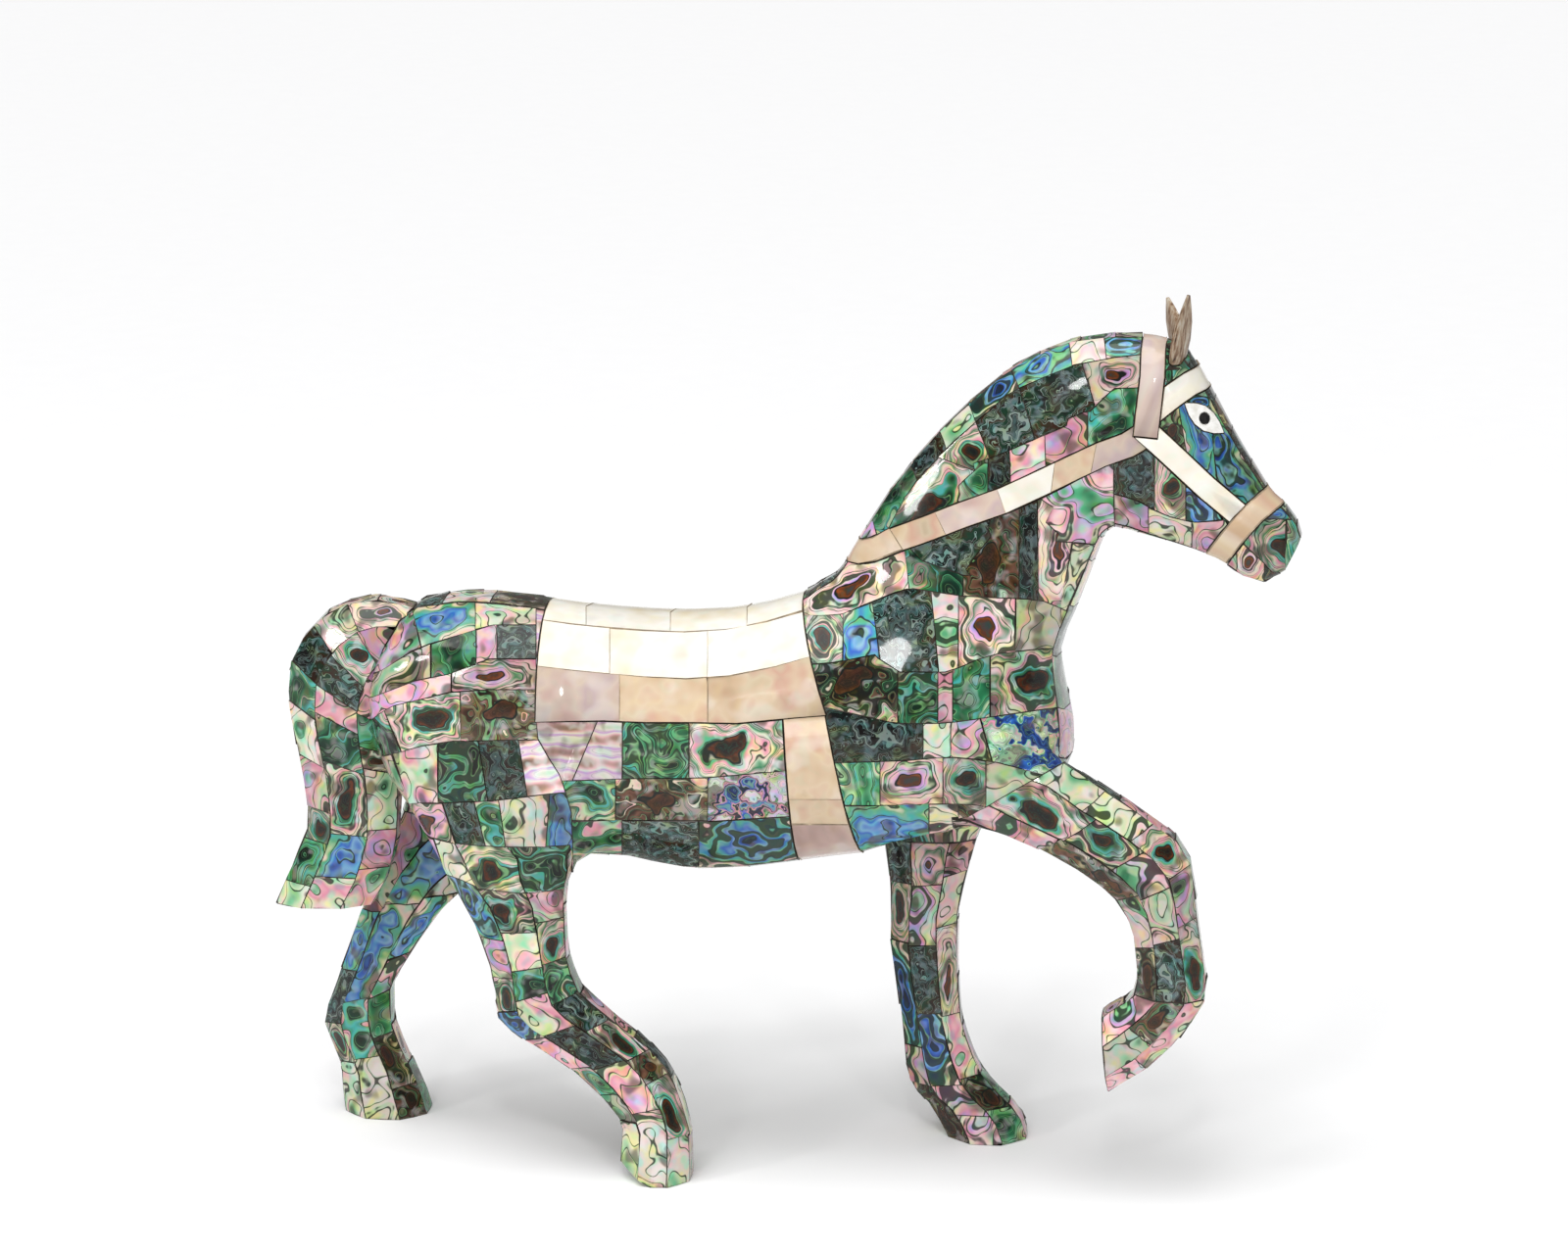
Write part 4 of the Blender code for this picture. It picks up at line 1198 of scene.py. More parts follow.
    def lay_trunk(self, skin: Skin, faces: Faces) -> None:
        """Lays trunk, neck and head.

        Args:
            skin: The body's skin.
            faces: The faces that aren't the legs' or the tail's.
        """
        head, neck, lower = [], [], []
        for face in faces:
            at = skin.mean(face, skin.station("trunk", 0.0))
            high = skin.mean(face, skin.folded(0.0))
            if at > HEAD_FROM and high > 0:
                head.append(face)
            elif NECK_FROM < at < NECK_TO and high > float(np.interp(at, *zip(*REIN))):
                neck.append(face)
            else:
                lower.append(face)
        lower, throat = skin.split(lower, skin.station("trunk", THROAT_FROM))
        head += throat
        neck, crest = skin.split(neck, skin.folded(CREST_FROM))
        self.run(skin, crest, CREST)
        head, brow = skin.split(head, skin.folded(BROW_FROM))
        self.run(skin, brow, BROW)
        jaw, head = skin.split(head, skin.folded(JAW_BELOW))
        self.run(skin, jaw, JAW)
        lower, back = skin.split(lower, skin.folded(BACK_FROM))
        self.run(skin, back, BACK)
        belly, lower = skin.split(lower, skin.folded(BELLY_BELOW))
        self.run(skin, belly, BELLY)
        for group, panels in ((lower, SIDE_PANELS), (neck, (NECK_PANEL,)), (head, (HEAD_PANEL,))):
            for side in (-1, 1):
                part = [f for f in group if (f.calc_center_median().y - MIDDLE) * side > 0]
                self.lay_panels(skin, part, panels, side < 0)

    def lay_panels(self, skin: Skin, faces: Faces, panels: Sequence[Panel], near: bool) -> None:
        """Lays one side of the horse by its panels, rows and joints.

        Args:
            skin: The body's skin.
            faces: The faces of that side.
            panels: The panels, from left to right.
            near: True for the right side, whose shells the sheet gives.
        """
        for panel in panels:
            left, faces = skin.split(faces, skin.on_sheet(upright_line(panel.right)))
            upper: Line | None = None
            for row in panel.rows:
                if row is panel.rows[-1]:
                    tiles, left = left, []
                else:
                    tiles, left = skin.split(left, skin.on_sheet(level_line(row.lower)))
                self.lay_row(skin, tiles, row, upper, near)
                upper = row.lower

    def lay_row(self, skin: Skin, tiles: Faces, row: Row, upper: Line | None, near: bool) -> None:
        """Cuts a row at its joints and notes its tiles.

        Args:
            skin: The body's skin.
            tiles: The row's faces.
            row: Its joints and shells.
            upper: The lower edge of the row above it.
            near: True for the right side, whose shells the sheet gives.
        """
        for number, letter in enumerate(row.shells):
            shell = Shell(letter) if near else Shell(self.rng.choice(SIDE_MIX))
            if number == len(row.joints):
                skin.keep(tiles, shell)
                break
            joint = row.joints[number]
            high_u, low_u = joint if isinstance(joint, tuple) else (joint, joint)
            low_v = min(float(np.interp(low_u, *zip(*row.lower))), self.lowest_row)
            high_v = low_v - self.open_row
            if upper is not None:
                high_v = min(float(np.interp(high_u, *zip(*upper))), low_v - self.short_row)
            slope = (low_u - high_u) / (low_v - high_v)
            tile, tiles = skin.split(tiles, skin.on_sheet(
                lambda spot, u=high_u, v=high_v, k=slope: spot[0] - u - k * (spot[1] - v)))
            skin.keep(tile, shell)


# Pearl tack and features


@dataclass(frozen=True)
class Strap:
    """One inlaid pearl piece: its node, a letter for each plate and the joints across it."""

    name: str
    node: str
    shells: str
    joints: tuple[Line, ...] = ()


STRAPS = (
    Strap("girth_pearl", "girth", "bbu", (((0, 816), (1600, 816)), ((0, 841), (1600, 841)))),
    Strap("reins_pearl", "reins", "ubiubb", (((1121, 440), (1110, 500)), ((1078, 460), (1070, 520)),
                                             ((1014, 490), (1030, 535)), ((950, 515), (972, 560)),
                                             ((905, 535), (930, 575)))),
    Strap("crownpiece_pearl", "crownpiece", "u"),
    Strap("browband_pearl", "browband", "i"),
    Strap("cheekpiece_right_pearl", "cheekpiece_right", "i"),
    Strap("cheekpiece_left_pearl", "cheekpiece_left", "i"),
    Strap("noseband_pearl", "noseband", "b"),
)


@dataclass(frozen=True)
class PlateRow:
    """A row of the blanket's plates: the section angle it reaches down to, its joints and shells."""

    low: float
    joints: tuple[float, ...]
    shells: str


# The top two rows are of white pearl and the lowest of blush and beige pearl; the white of the top rows is
# partly real pearl and partly painted highlight where light falls on the blanket's top
BLANKET_ROWS = (
    PlateRow(67.0, (598.0, 684.0, 762.0), "iiii"),
    PlateRow(38.0, (622.0, 722.0), "iii"),
    PlateRow(-90.0, (632.0, 722.0), "ubb"),
)


@dataclass
class Tack:
    """Blanket, girth, reins and bridle of mother-of-pearl."""

    sheet: Sheet
    trunk: Chart
    slots: dict[Shell, int]
    materials: list[bpy.types.Material]
    rng: random.Random
    off_face: float = 0.05 * MM
    sight: float = 3.0 * MM
    lies_on: float = 0.4 * MM
    facing: float = 0.8

    def build(self) -> list[bpy.types.Object]:
        """Cuts and polishes every strap.

        Returns:
            The pieces.
        """
        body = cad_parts["horse_body"].data
        cover = BVHTree.FromPolygons([v.co.copy() for v in body.vertices],
                                     [tuple(f.vertices) for f in body.polygons])
        return [self.blanket(cover)] + [self.strap(strap, cover) for strap in STRAPS]

    def opened(self, name: str, node: str, cover: BVHTree) -> tuple[Skin, Faces]:
        """Starts a piece's skin and finds the faces of it that show.

        Args:
            name: Name of the new piece.
            node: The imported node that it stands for.
            cover: The body's surface.

        Returns:
            The skin and the faces that the body doesn't cover.
        """
        skin = Skin(name, node)
        skin.note(self.sheet, {"trunk": self.trunk})
        shown = []
        for face in skin.work.faces:
            start = face.calc_center_median() + face.normal * self.off_face
            hit, _, _, _ = cover.ray_cast(start, face.normal, self.sight)
            _, way, _, away = cover.find_nearest(start)
            if hit is None and not (away < self.lies_on and way.dot(face.normal) < -self.facing):
                shown.append(face)
        return skin, shown

    def done(self, skin: Skin) -> bpy.types.Object:
        """Finishes a piece of pearl.

        Args:
            skin: The piece's skin, with its tiles noted.

        Returns:
            The piece.
        """
        skin.share_small_tiles()
        log.info("%s: %d tiles", skin.name, len(skin.tiles))
        made = skin.finish(self.slots, self.rng, PEARL_JOINT)
        for finish in self.materials:
            made.data.materials.append(finish)
        return made

    def blanket(self, cover: BVHTree) -> bpy.types.Object:
        """Lays the saddle blanket: three rows of plates on each side.

        Args:
            cover: The body's surface.

        Returns:
            The blanket.
        """
        skin, left = self.opened("saddle_blanket_pearl", "saddle_blanket", cover)
        for plates in BLANKET_ROWS:
            left, row = skin.split(left, skin.folded(plates.low))
            for joint, letter in zip(plates.joints, plates.shells):
                tile, row = skin.split(row, skin.on_sheet(lambda spot, u=joint: spot[0] - u))
                skin.keep(tile, Shell(letter))
            skin.keep(row, Shell(plates.shells[-1]))
        return self.done(skin)

    def strap(self, strap: Strap, cover: BVHTree) -> bpy.types.Object:
        """Lays one strap, cut across at its joints.

        Args:
            strap: The strap.
            cover: The body's surface.

        Returns:
            The strap's piece.
        """
        skin, left = self.opened(strap.name, strap.node, cover)
        for joint, letter in zip(strap.joints, strap.shells):
            if strap.node == "girth":
                tile, left = skin.split(left, skin.on_sheet(level_line(joint)))
            else:
                left, tile = skin.split(left, skin.on_sheet(upright_line(joint)))
            skin.keep(tile, Shell(letter))
        skin.keep(left, Shell(strap.shells[-1]))
        return self.done(skin)


@dataclass
class Features:
    """Ears, eyes and pupils, each a polished piece of one shell."""

    horn: bpy.types.Material
    white: bpy.types.Material
    black: bpy.types.Material
    sharp: float = 40.0
    merged: float = 0.02 * MM

    def build(self) -> list[bpy.types.Object]:
        """Polishes the pieces of both sides.

        Returns:
            The pieces.
        """
        kinds = (("ear", self.horn, "brown_shell"), ("eye", self.white, "white_shell"),
                 ("pupil", self.black, "black_shell"))
        return [self.polished(f"{kind}_{side}", finish)
                for side in ("right", "left") for kind, finish, slot in kinds]

    def polished(self, node: str, finish: bpy.types.Material) -> bpy.types.Object:
        """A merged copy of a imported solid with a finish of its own.

        Args:
            node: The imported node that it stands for.
            finish: Its material.

        Returns:
            The piece.
        """
        work = bmesh.new()
        work.from_mesh(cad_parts[node].data)
        bmesh.ops.remove_doubles(work, verts=work.verts[:], dist=self.merged)
        for face in work.faces:
            face.smooth = True
            face.material_index = 0
        for edge in work.edges:
            edge.smooth = edge.calc_face_angle(math.pi) < math.radians(self.sharp)
        made = placed(f"{node}_shell", node, work)
        made.data.materials.append(finish)
        log.info("%s: %d faces", made.name, len(made.data.polygons))
        return made


# Finishes


@dataclass(frozen=True)
class Wire:
    """A socket of a node tree that can be reckoned with."""

    graph: "Graph"
    socket: bpy.types.NodeSocket

    def __add__(self, other: "Wire | float") -> "Wire":
        """The sum."""
        return self.graph.maths("ADD", self, other)

    def __radd__(self, other: float) -> "Wire":
        """The sum, number first."""
        return self.graph.maths("ADD", other, self)

    def __sub__(self, other: "Wire | float") -> "Wire":
        """The difference."""
        return self.graph.maths("SUBTRACT", self, other)

    def __rsub__(self, other: float) -> "Wire":
        """The difference, number first."""
        return self.graph.maths("SUBTRACT", other, self)

    def __mul__(self, other: "Wire | float") -> "Wire":
        """The product."""
        return self.graph.maths("MULTIPLY", self, other)

    def __rmul__(self, other: float) -> "Wire":
        """The product, number first."""
        return self.graph.maths("MULTIPLY", other, self)

    def __truediv__(self, other: "Wire | float") -> "Wire":
        """The quotient."""
        return self.graph.maths("DIVIDE", self, other)

    def __rtruediv__(self, other: float) -> "Wire":
        """The quotient, number first."""
        return self.graph.maths("DIVIDE", other, self)


class Graph:
    """The node tree of one finish."""

    def __init__(self, name: str) -> None:
        """Starts an empty material.

        Args:
            name: The material's name.
        """
        self.material = bpy.data.materials.new(name)
        self.material.use_nodes = True
        self.tree = self.material.node_tree
        self.tree.nodes.clear()

    def node(self, kind: str, settings: dict[str, object] | None = None,
             inputs: dict[str | int, object] | None = None) -> bpy.types.Node:
        """Adds a node.

        Args:
            kind: The node's type.
            settings: Its settings.
            inputs: Values or wires for its sockets.

        Returns:
            The node.
        """
        made = self.tree.nodes.new(kind)
        for key, value in (settings or {}).items():
            setattr(made, key, value)
        for key, value in (inputs or {}).items():
            if isinstance(value, Wire):
                self.tree.links.new(value.socket, made.inputs[key])
            else:
                made.inputs[key].default_value = value
        return made

    def wire(self, node: bpy.types.Node, output: str | int = 0) -> Wire:
        """A node's output."""
        return Wire(self, node.outputs[output])

    def maths(self, operation: str, one: Wire | float, two: Wire | float = 0.0, clamp: bool = False) -> Wire:
        """A number reckoned from two."""
        settings = {"operation": operation, "use_clamp": clamp}
        return self.wire(self.node("ShaderNodeMath", settings, {0: one, 1: two}))

    def vector(self, operation: str, one: Wire | Colour, two: Wire | Colour = (0.0, 0.0, 0.0)) -> Wire:
        """A vector reckoned from two."""
        return self.wire(self.node("ShaderNodeVectorMath", {"operation": operation}, {0: one, 1: two}))

    def scaled(self, one: Wire, by: float | Wire) -> Wire:
        """A vector made longer or shorter."""
        return self.wire(self.node("ShaderNodeVectorMath", {"operation": "SCALE"}, {0: one, "Scale": by}))

    def joined(self, x: Wire | float, y: Wire | float, z: Wire | float = 0.0) -> Wire:
        """A vector from three numbers."""
        return self.wire(self.node("ShaderNodeCombineXYZ", None, {0: x, 1: y, 2: z}))

    def parts(self, vector: Wire) -> tuple[Wire, Wire, Wire]:
        """The three numbers of a vector."""
        node = self.node("ShaderNodeSeparateXYZ", None, {0: vector})
        return self.wire(node, 0), self.wire(node, 1), self.wire(node, 2)

    def mix(self, share: Wire | float, one: Wire | Colour, two: Wire | Colour, kind: str = "MIX") -> Wire:
        """A colour between two.

        Args:
            share: How much of the second colour there is.
            one: The first colour.
            two: The second colour.
            kind: How the second is laid over the first.

        Returns:
            The mixed colour.
        """
        one = one if isinstance(one, Wire) else (*one, 1.0)
        two = two if isinstance(two, Wire) else (*two, 1.0)
        settings = {"data_type": "RGBA", "blend_type": kind}
        return self.wire(self.node("ShaderNodeMix", settings, {0: share, 6: one, 7: two}), 2)

    def noise(self, at: Wire, scale: float, detail: float = 2.0, rough: float = 0.5, output: int = 0) -> Wire:
        """Cloudy noise, as a number or with output 1 as a colour."""
        return self.wire(self.node("ShaderNodeTexNoise", None, {
            "Vector": at, "Scale": scale, "Detail": detail, "Roughness": rough}), output)

    def ramp(self, value: Wire, stops: Sequence[tuple[float, Colour]]) -> Wire:
        """A colour from a number.

        Args:
            value: The number.
            stops: The colours, each with the number that it stands at.

        Returns:
            The colour.
        """
        node = self.node("ShaderNodeValToRGB", None, {0: value})
        marks = node.color_ramp.elements
        while len(marks) < len(stops):
            marks.new(1.0)
        for mark, (at, colour) in zip(marks, stops):
            mark.position = at
            mark.color = (*colour, 1.0)
        return self.wire(node)

    def step(self, value: Wire, start: float, end: float) -> Wire:
        """Nought before the start, one after the end and smooth between."""
        return self.wire(self.node("ShaderNodeMapRange", {"interpolation_type": "SMOOTHSTEP"}, {
            0: value, 1: start, 2: end, 3: 0.0, 4: 1.0}))


@dataclass(frozen=True)
class ShellFinish:
    """How one cut of shell is figured; lengths are in millimetres.

    The figure is a height field: distance from the tile's middle, a cloudy swirl and straight
    layers, each with its share. Growth lines follow its contours and the ground changes colour
    from band to band between them.
    """

    name: str
    ground: tuple[tuple[float, Colour], ...]
    base: float = 0.5
    ring: float = 0.0
    swirl: float = 1.0
    layers: float = 0.0
    swirl_size: float = 7.0
    wobble: float = 3.0
    wobble_size: float = 6.0
    jump: float = 0.5
    drift: float = 0.5
    lines: float = 5.0
    line_width: float = 0.11
    line_share: float = 0.9
    line_colour: Colour = (0.012, 0.016, 0.013)
    glow_share: float = 0.55
    glow_colour: Colour = (0.34, 0.74, 0.30)
    core: float = 0.0
    core_colours: tuple[Colour, Colour, Colour] = (
        (0.012, 0.010, 0.009), (0.035, 0.013, 0.006), (0.13, 0.030, 0.008))
    vein_share: float = 0.35
    vein_colour: Colour = (0.020, 0.075, 0.042)
    # Silver patches: silvery nacre, and partly a painted highlight laid into the colour
    silver_and_highlight_share: float = 0.45
    silver_and_highlight_size: float = 4.0
    silver_and_highlight_colour: Colour = (0.92, 0.91, 0.85)
    smoke_share: float = 0.75
    smoke_colour: Colour = (0.085, 0.062, 0.044)
    margin: float = 0.6
    margin_colour: Colour = (0.11, 0.085, 0.062)
    # How much painted iridescent sheen is laid into the colour
    sheen_share: float = 0.8
    # How far each tile is painted lighter or darker, as if its facet caught the light in its own way
    facet_shade_range: float = 0.38
    bump: float = 0.05


BLACK = (0.010, 0.009, 0.008)
UMBER = (0.040, 0.018, 0.009)
SMOKE = (0.105, 0.078, 0.058)
RUST = (0.17, 0.048, 0.014)
DEEP_GREEN = (0.010, 0.042, 0.022)
GREEN = (0.035, 0.19, 0.075)
SEA_GREEN = (0.11, 0.42, 0.19)
AQUA = (0.09, 0.42, 0.38)
MINT = (0.44, 0.68, 0.38)
NAVY = (0.018, 0.040, 0.15)
BLUE = (0.045, 0.14, 0.50)
SKY = (0.20, 0.44, 0.62)
LILAC = (0.62, 0.36, 0.66)
PINK = (0.74, 0.30, 0.38)
SHELL_PINK = (0.84, 0.50, 0.50)
SILVER = (0.70, 0.69, 0.60)
CREAM = (0.76, 0.70, 0.48)
WHITE = (0.84, 0.80, 0.68)

# Painted iridescent sheen: the tints that light is painted as falling back in
SHEEN_TINTS = ((0.34, (0.62, 1.04, 1.10)), (0.46, (1.08, 0.92, 1.06)), (0.56, (1.0, 1.0, 1.0)),
        (0.68, (1.12, 1.08, 0.62)))

FINISHES: dict[Shell, ShellFinish] = {
    Shell.RING: ShellFinish(
        "abalone_ring",
        ((0.0, UMBER), (0.28, DEEP_GREEN), (0.38, GREEN), (0.46, AQUA), (0.54, SEA_GREEN), (0.64, PINK),
         (0.76, CREAM), (0.86, GREEN), (1.0, SHELL_PINK)),
        base=0.0, ring=0.92, swirl=0.30, lines=7.0, line_width=0.19, core=0.34, jump=0.28, drift=0.4,
        wobble=3.4),
    Shell.MOSS: ShellFinish(
        "abalone_moss",
        ((0.0, BLACK), (0.22, DEEP_GREEN), (0.4, GREEN), (0.54, SEA_GREEN), (0.64, AQUA), (0.76, GREEN),
         (0.88, MINT), (1.0, PINK)),
        base=0.26, ring=0.34, swirl=1.0, lines=7.5, line_width=0.20, wobble=3.4, swirl_size=7.5,
        wobble_size=8.0, silver_and_highlight_share=0.2, jump=0.5, smoke_share=0.6),
    Shell.FLASH: ShellFinish(
        "abalone_flash",
        ((0.0, NAVY), (0.16, BLUE), (0.34, SKY), (0.46, BLUE), (0.58, AQUA), (0.72, SEA_GREEN),
         (0.84, CREAM), (1.0, SHELL_PINK)),
        base=0.06, ring=0.62, swirl=0.5, lines=3.6, line_width=0.20, jump=0.25, drift=0.8,
        silver_and_highlight_share=0.1),
    Shell.BURR: ShellFinish(
        "abalone_burr",
        ((0.0, (0.06, 0.11, 0.10)), (0.16, BLACK), (0.5, (0.010, 0.011, 0.010)), (0.7, DEEP_GREEN),
         (0.85, UMBER), (1.0, BLACK)),
        base=0.05, ring=0.9, swirl=0.6, swirl_size=5.0, lines=9.0, line_width=0.13, line_share=0.62,
        wobble=4.4, wobble_size=3.4, line_colour=(0.34, 0.46, 0.38), silver_and_highlight_share=0.45, glow_share=0.10,
        silver_and_highlight_size=2.6, glow_colour=(0.06, 0.24, 0.22), silver_and_highlight_colour=(0.20, 0.30, 0.30), smoke_share=0.3),
    Shell.ROSE: ShellFinish(
        "abalone_rose",
        ((0.0, GREEN), (0.18, SEA_GREEN), (0.34, LILAC), (0.5, PINK), (0.64, SHELL_PINK), (0.78, PINK),
         (0.9, CREAM), (1.0, MINT)),
        base=0.46, ring=0.22, swirl=0.9, swirl_size=10.0, wobble_size=9.0, lines=4.6, line_width=0.16,
        line_share=0.9, jump=0.55, silver_and_highlight_share=0.4, silver_and_highlight_size=6.0),
    Shell.PALE: ShellFinish(
        "abalone_pale",
        ((0.0, GREEN), (0.16, SEA_GREEN), (0.32, MINT), (0.46, CREAM), (0.6, SILVER), (0.74, SHELL_PINK),
         (0.88, CREAM), (1.0, MINT)),
        base=0.46, ring=0.22, swirl=0.9, swirl_size=10.0, wobble_size=9.0, lines=4.4, line_width=0.16,
        line_share=0.9, jump=0.55, silver_and_highlight_share=0.4, silver_and_highlight_size=6.0),
    Shell.FLAME: ShellFinish(
        "abalone_flame",
        ((0.0, (0.16, 0.10, 0.07)), (0.2, (0.42, 0.26, 0.20)), (0.36, SHELL_PINK), (0.52, WHITE),
         (0.68, LILAC), (0.84, WHITE), (1.0, MINT)),
        base=0.5, swirl=0.4, layers=1.1, swirl_size=8.0, lines=1.2, line_width=0.03, line_share=0.3,
        jump=0.1, drift=0.25, sheen_share=0.35, glow_share=0.0, smoke_share=0.5),
    Shell.SPOT: ShellFinish(
        "abalone_spot",
        ((0.0, RUST), (0.26, LILAC), (0.42, SHELL_PINK), (0.54, GREEN), (0.62, SHELL_PINK), (0.8, CREAM),
         (1.0, PINK)),
        base=0.0, ring=0.92, swirl=0.28, lines=4.8, line_width=0.17, core=0.25, jump=0.25, drift=0.4,
        wobble=3.4, silver_and_highlight_size=6.0,
        core_colours=((0.05, 0.045, 0.04), (0.10, 0.028, 0.010), (0.24, 0.060, 0.014))),
    Shell.BARK: ShellFinish(
        "abalone_bark",
        ((0.0, BLACK), (0.18, UMBER), (0.34, (0.17, 0.085, 0.050)), (0.46, UMBER), (0.58, DEEP_GREEN),
         (0.68, (0.20, 0.13, 0.10)), (0.80, SMOKE), (0.90, CREAM), (1.0, PINK)),
        base=0.10, ring=0.45, swirl=0.85, swirl_size=5.0, lines=7.0, line_width=0.16, core=0.34,
        silver_and_highlight_share=0.3, smoke_share=0.8, smoke_colour=(0.045, 0.026, 0.016),
        vein_colour=(0.12, 0.055, 0.030),
        core_colours=((0.030, 0.022, 0.014), (0.045, 0.020, 0.011), (0.11, 0.045, 0.022))),
    Shell.OPAL: ShellFinish(
        "abalone_opal",
        ((0.0, BLACK), (0.2, NAVY), (0.38, BLUE), (0.5, PINK), (0.64, GREEN), (0.8, MINT), (1.0, LILAC)),
        base=0.35, ring=0.3, swirl=0.9, swirl_size=4.0, lines=8.0, wobble=4.0, wobble_size=3.2,
        line_width=0.13),
    Shell.IVORY: ShellFinish(
        "pearl_white",
        ((0.0, (0.72, 0.60, 0.42)), (0.35, (0.82, 0.76, 0.62)), (0.6, (0.88, 0.85, 0.77)),
         (0.8, (0.80, 0.76, 0.68)), (1.0, (0.76, 0.62, 0.48))),
        swirl=0.55, swirl_size=16.0, lines=2.0, line_share=0.0, silver_and_highlight_share=0.3, silver_and_highlight_size=9.0, jump=0.0,
        drift=0.7, smoke_share=0.0, glow_share=0.0, margin=0.15, margin_colour=(0.55, 0.44, 0.30),
        bump=0.02, facet_shade_range=0.12, sheen_share=0.12, silver_and_highlight_colour=(0.86, 0.86, 0.84)),
    Shell.BISQUE: ShellFinish(
        "pearl_beige",
        ((0.0, (0.38, 0.22, 0.12)), (0.3, (0.58, 0.42, 0.27)), (0.52, (0.66, 0.52, 0.36)),
         (0.7, (0.60, 0.38, 0.28)), (0.85, (0.58, 0.47, 0.33)), (1.0, (0.42, 0.33, 0.22))),
        swirl=0.55, swirl_size=16.0, lines=2.0, line_share=0.0, silver_and_highlight_share=0.35, silver_and_highlight_size=9.0,
        jump=0.0, drift=0.7, smoke_share=0.0, glow_share=0.0, margin=0.2, margin_colour=(0.34, 0.23, 0.13),
        bump=0.02, facet_shade_range=0.12, sheen_share=0.12, silver_and_highlight_colour=(0.78, 0.72, 0.64)),
    Shell.BLUSH: ShellFinish(
        "pearl_blush",
        ((0.0, (0.36, 0.24, 0.21)), (0.3, (0.54, 0.38, 0.33)), (0.52, (0.62, 0.50, 0.41)),
         (0.7, (0.52, 0.40, 0.39)), (0.85, (0.56, 0.48, 0.37)), (1.0, (0.38, 0.36, 0.28))),
        swirl=0.55, swirl_size=16.0, lines=2.0, line_share=0.0, silver_and_highlight_share=0.35, silver_and_highlight_size=9.0,
        jump=0.0, drift=0.7, smoke_share=0.0, glow_share=0.0, margin=0.2, margin_colour=(0.32, 0.24, 0.17),
        bump=0.02, facet_shade_range=0.12, sheen_share=0.12, silver_and_highlight_colour=(0.76, 0.70, 0.68)),
}


@dataclass(frozen=True)
class Figure:
    """The wires that a cut of shell is figured with: the tile's number, its span and its height field."""

    seed: Wire
    across: Wire
    along: Wire
    spot: Wire
    bent: Wire
    distance: Wire
    cloud: Wire
    height: Wire


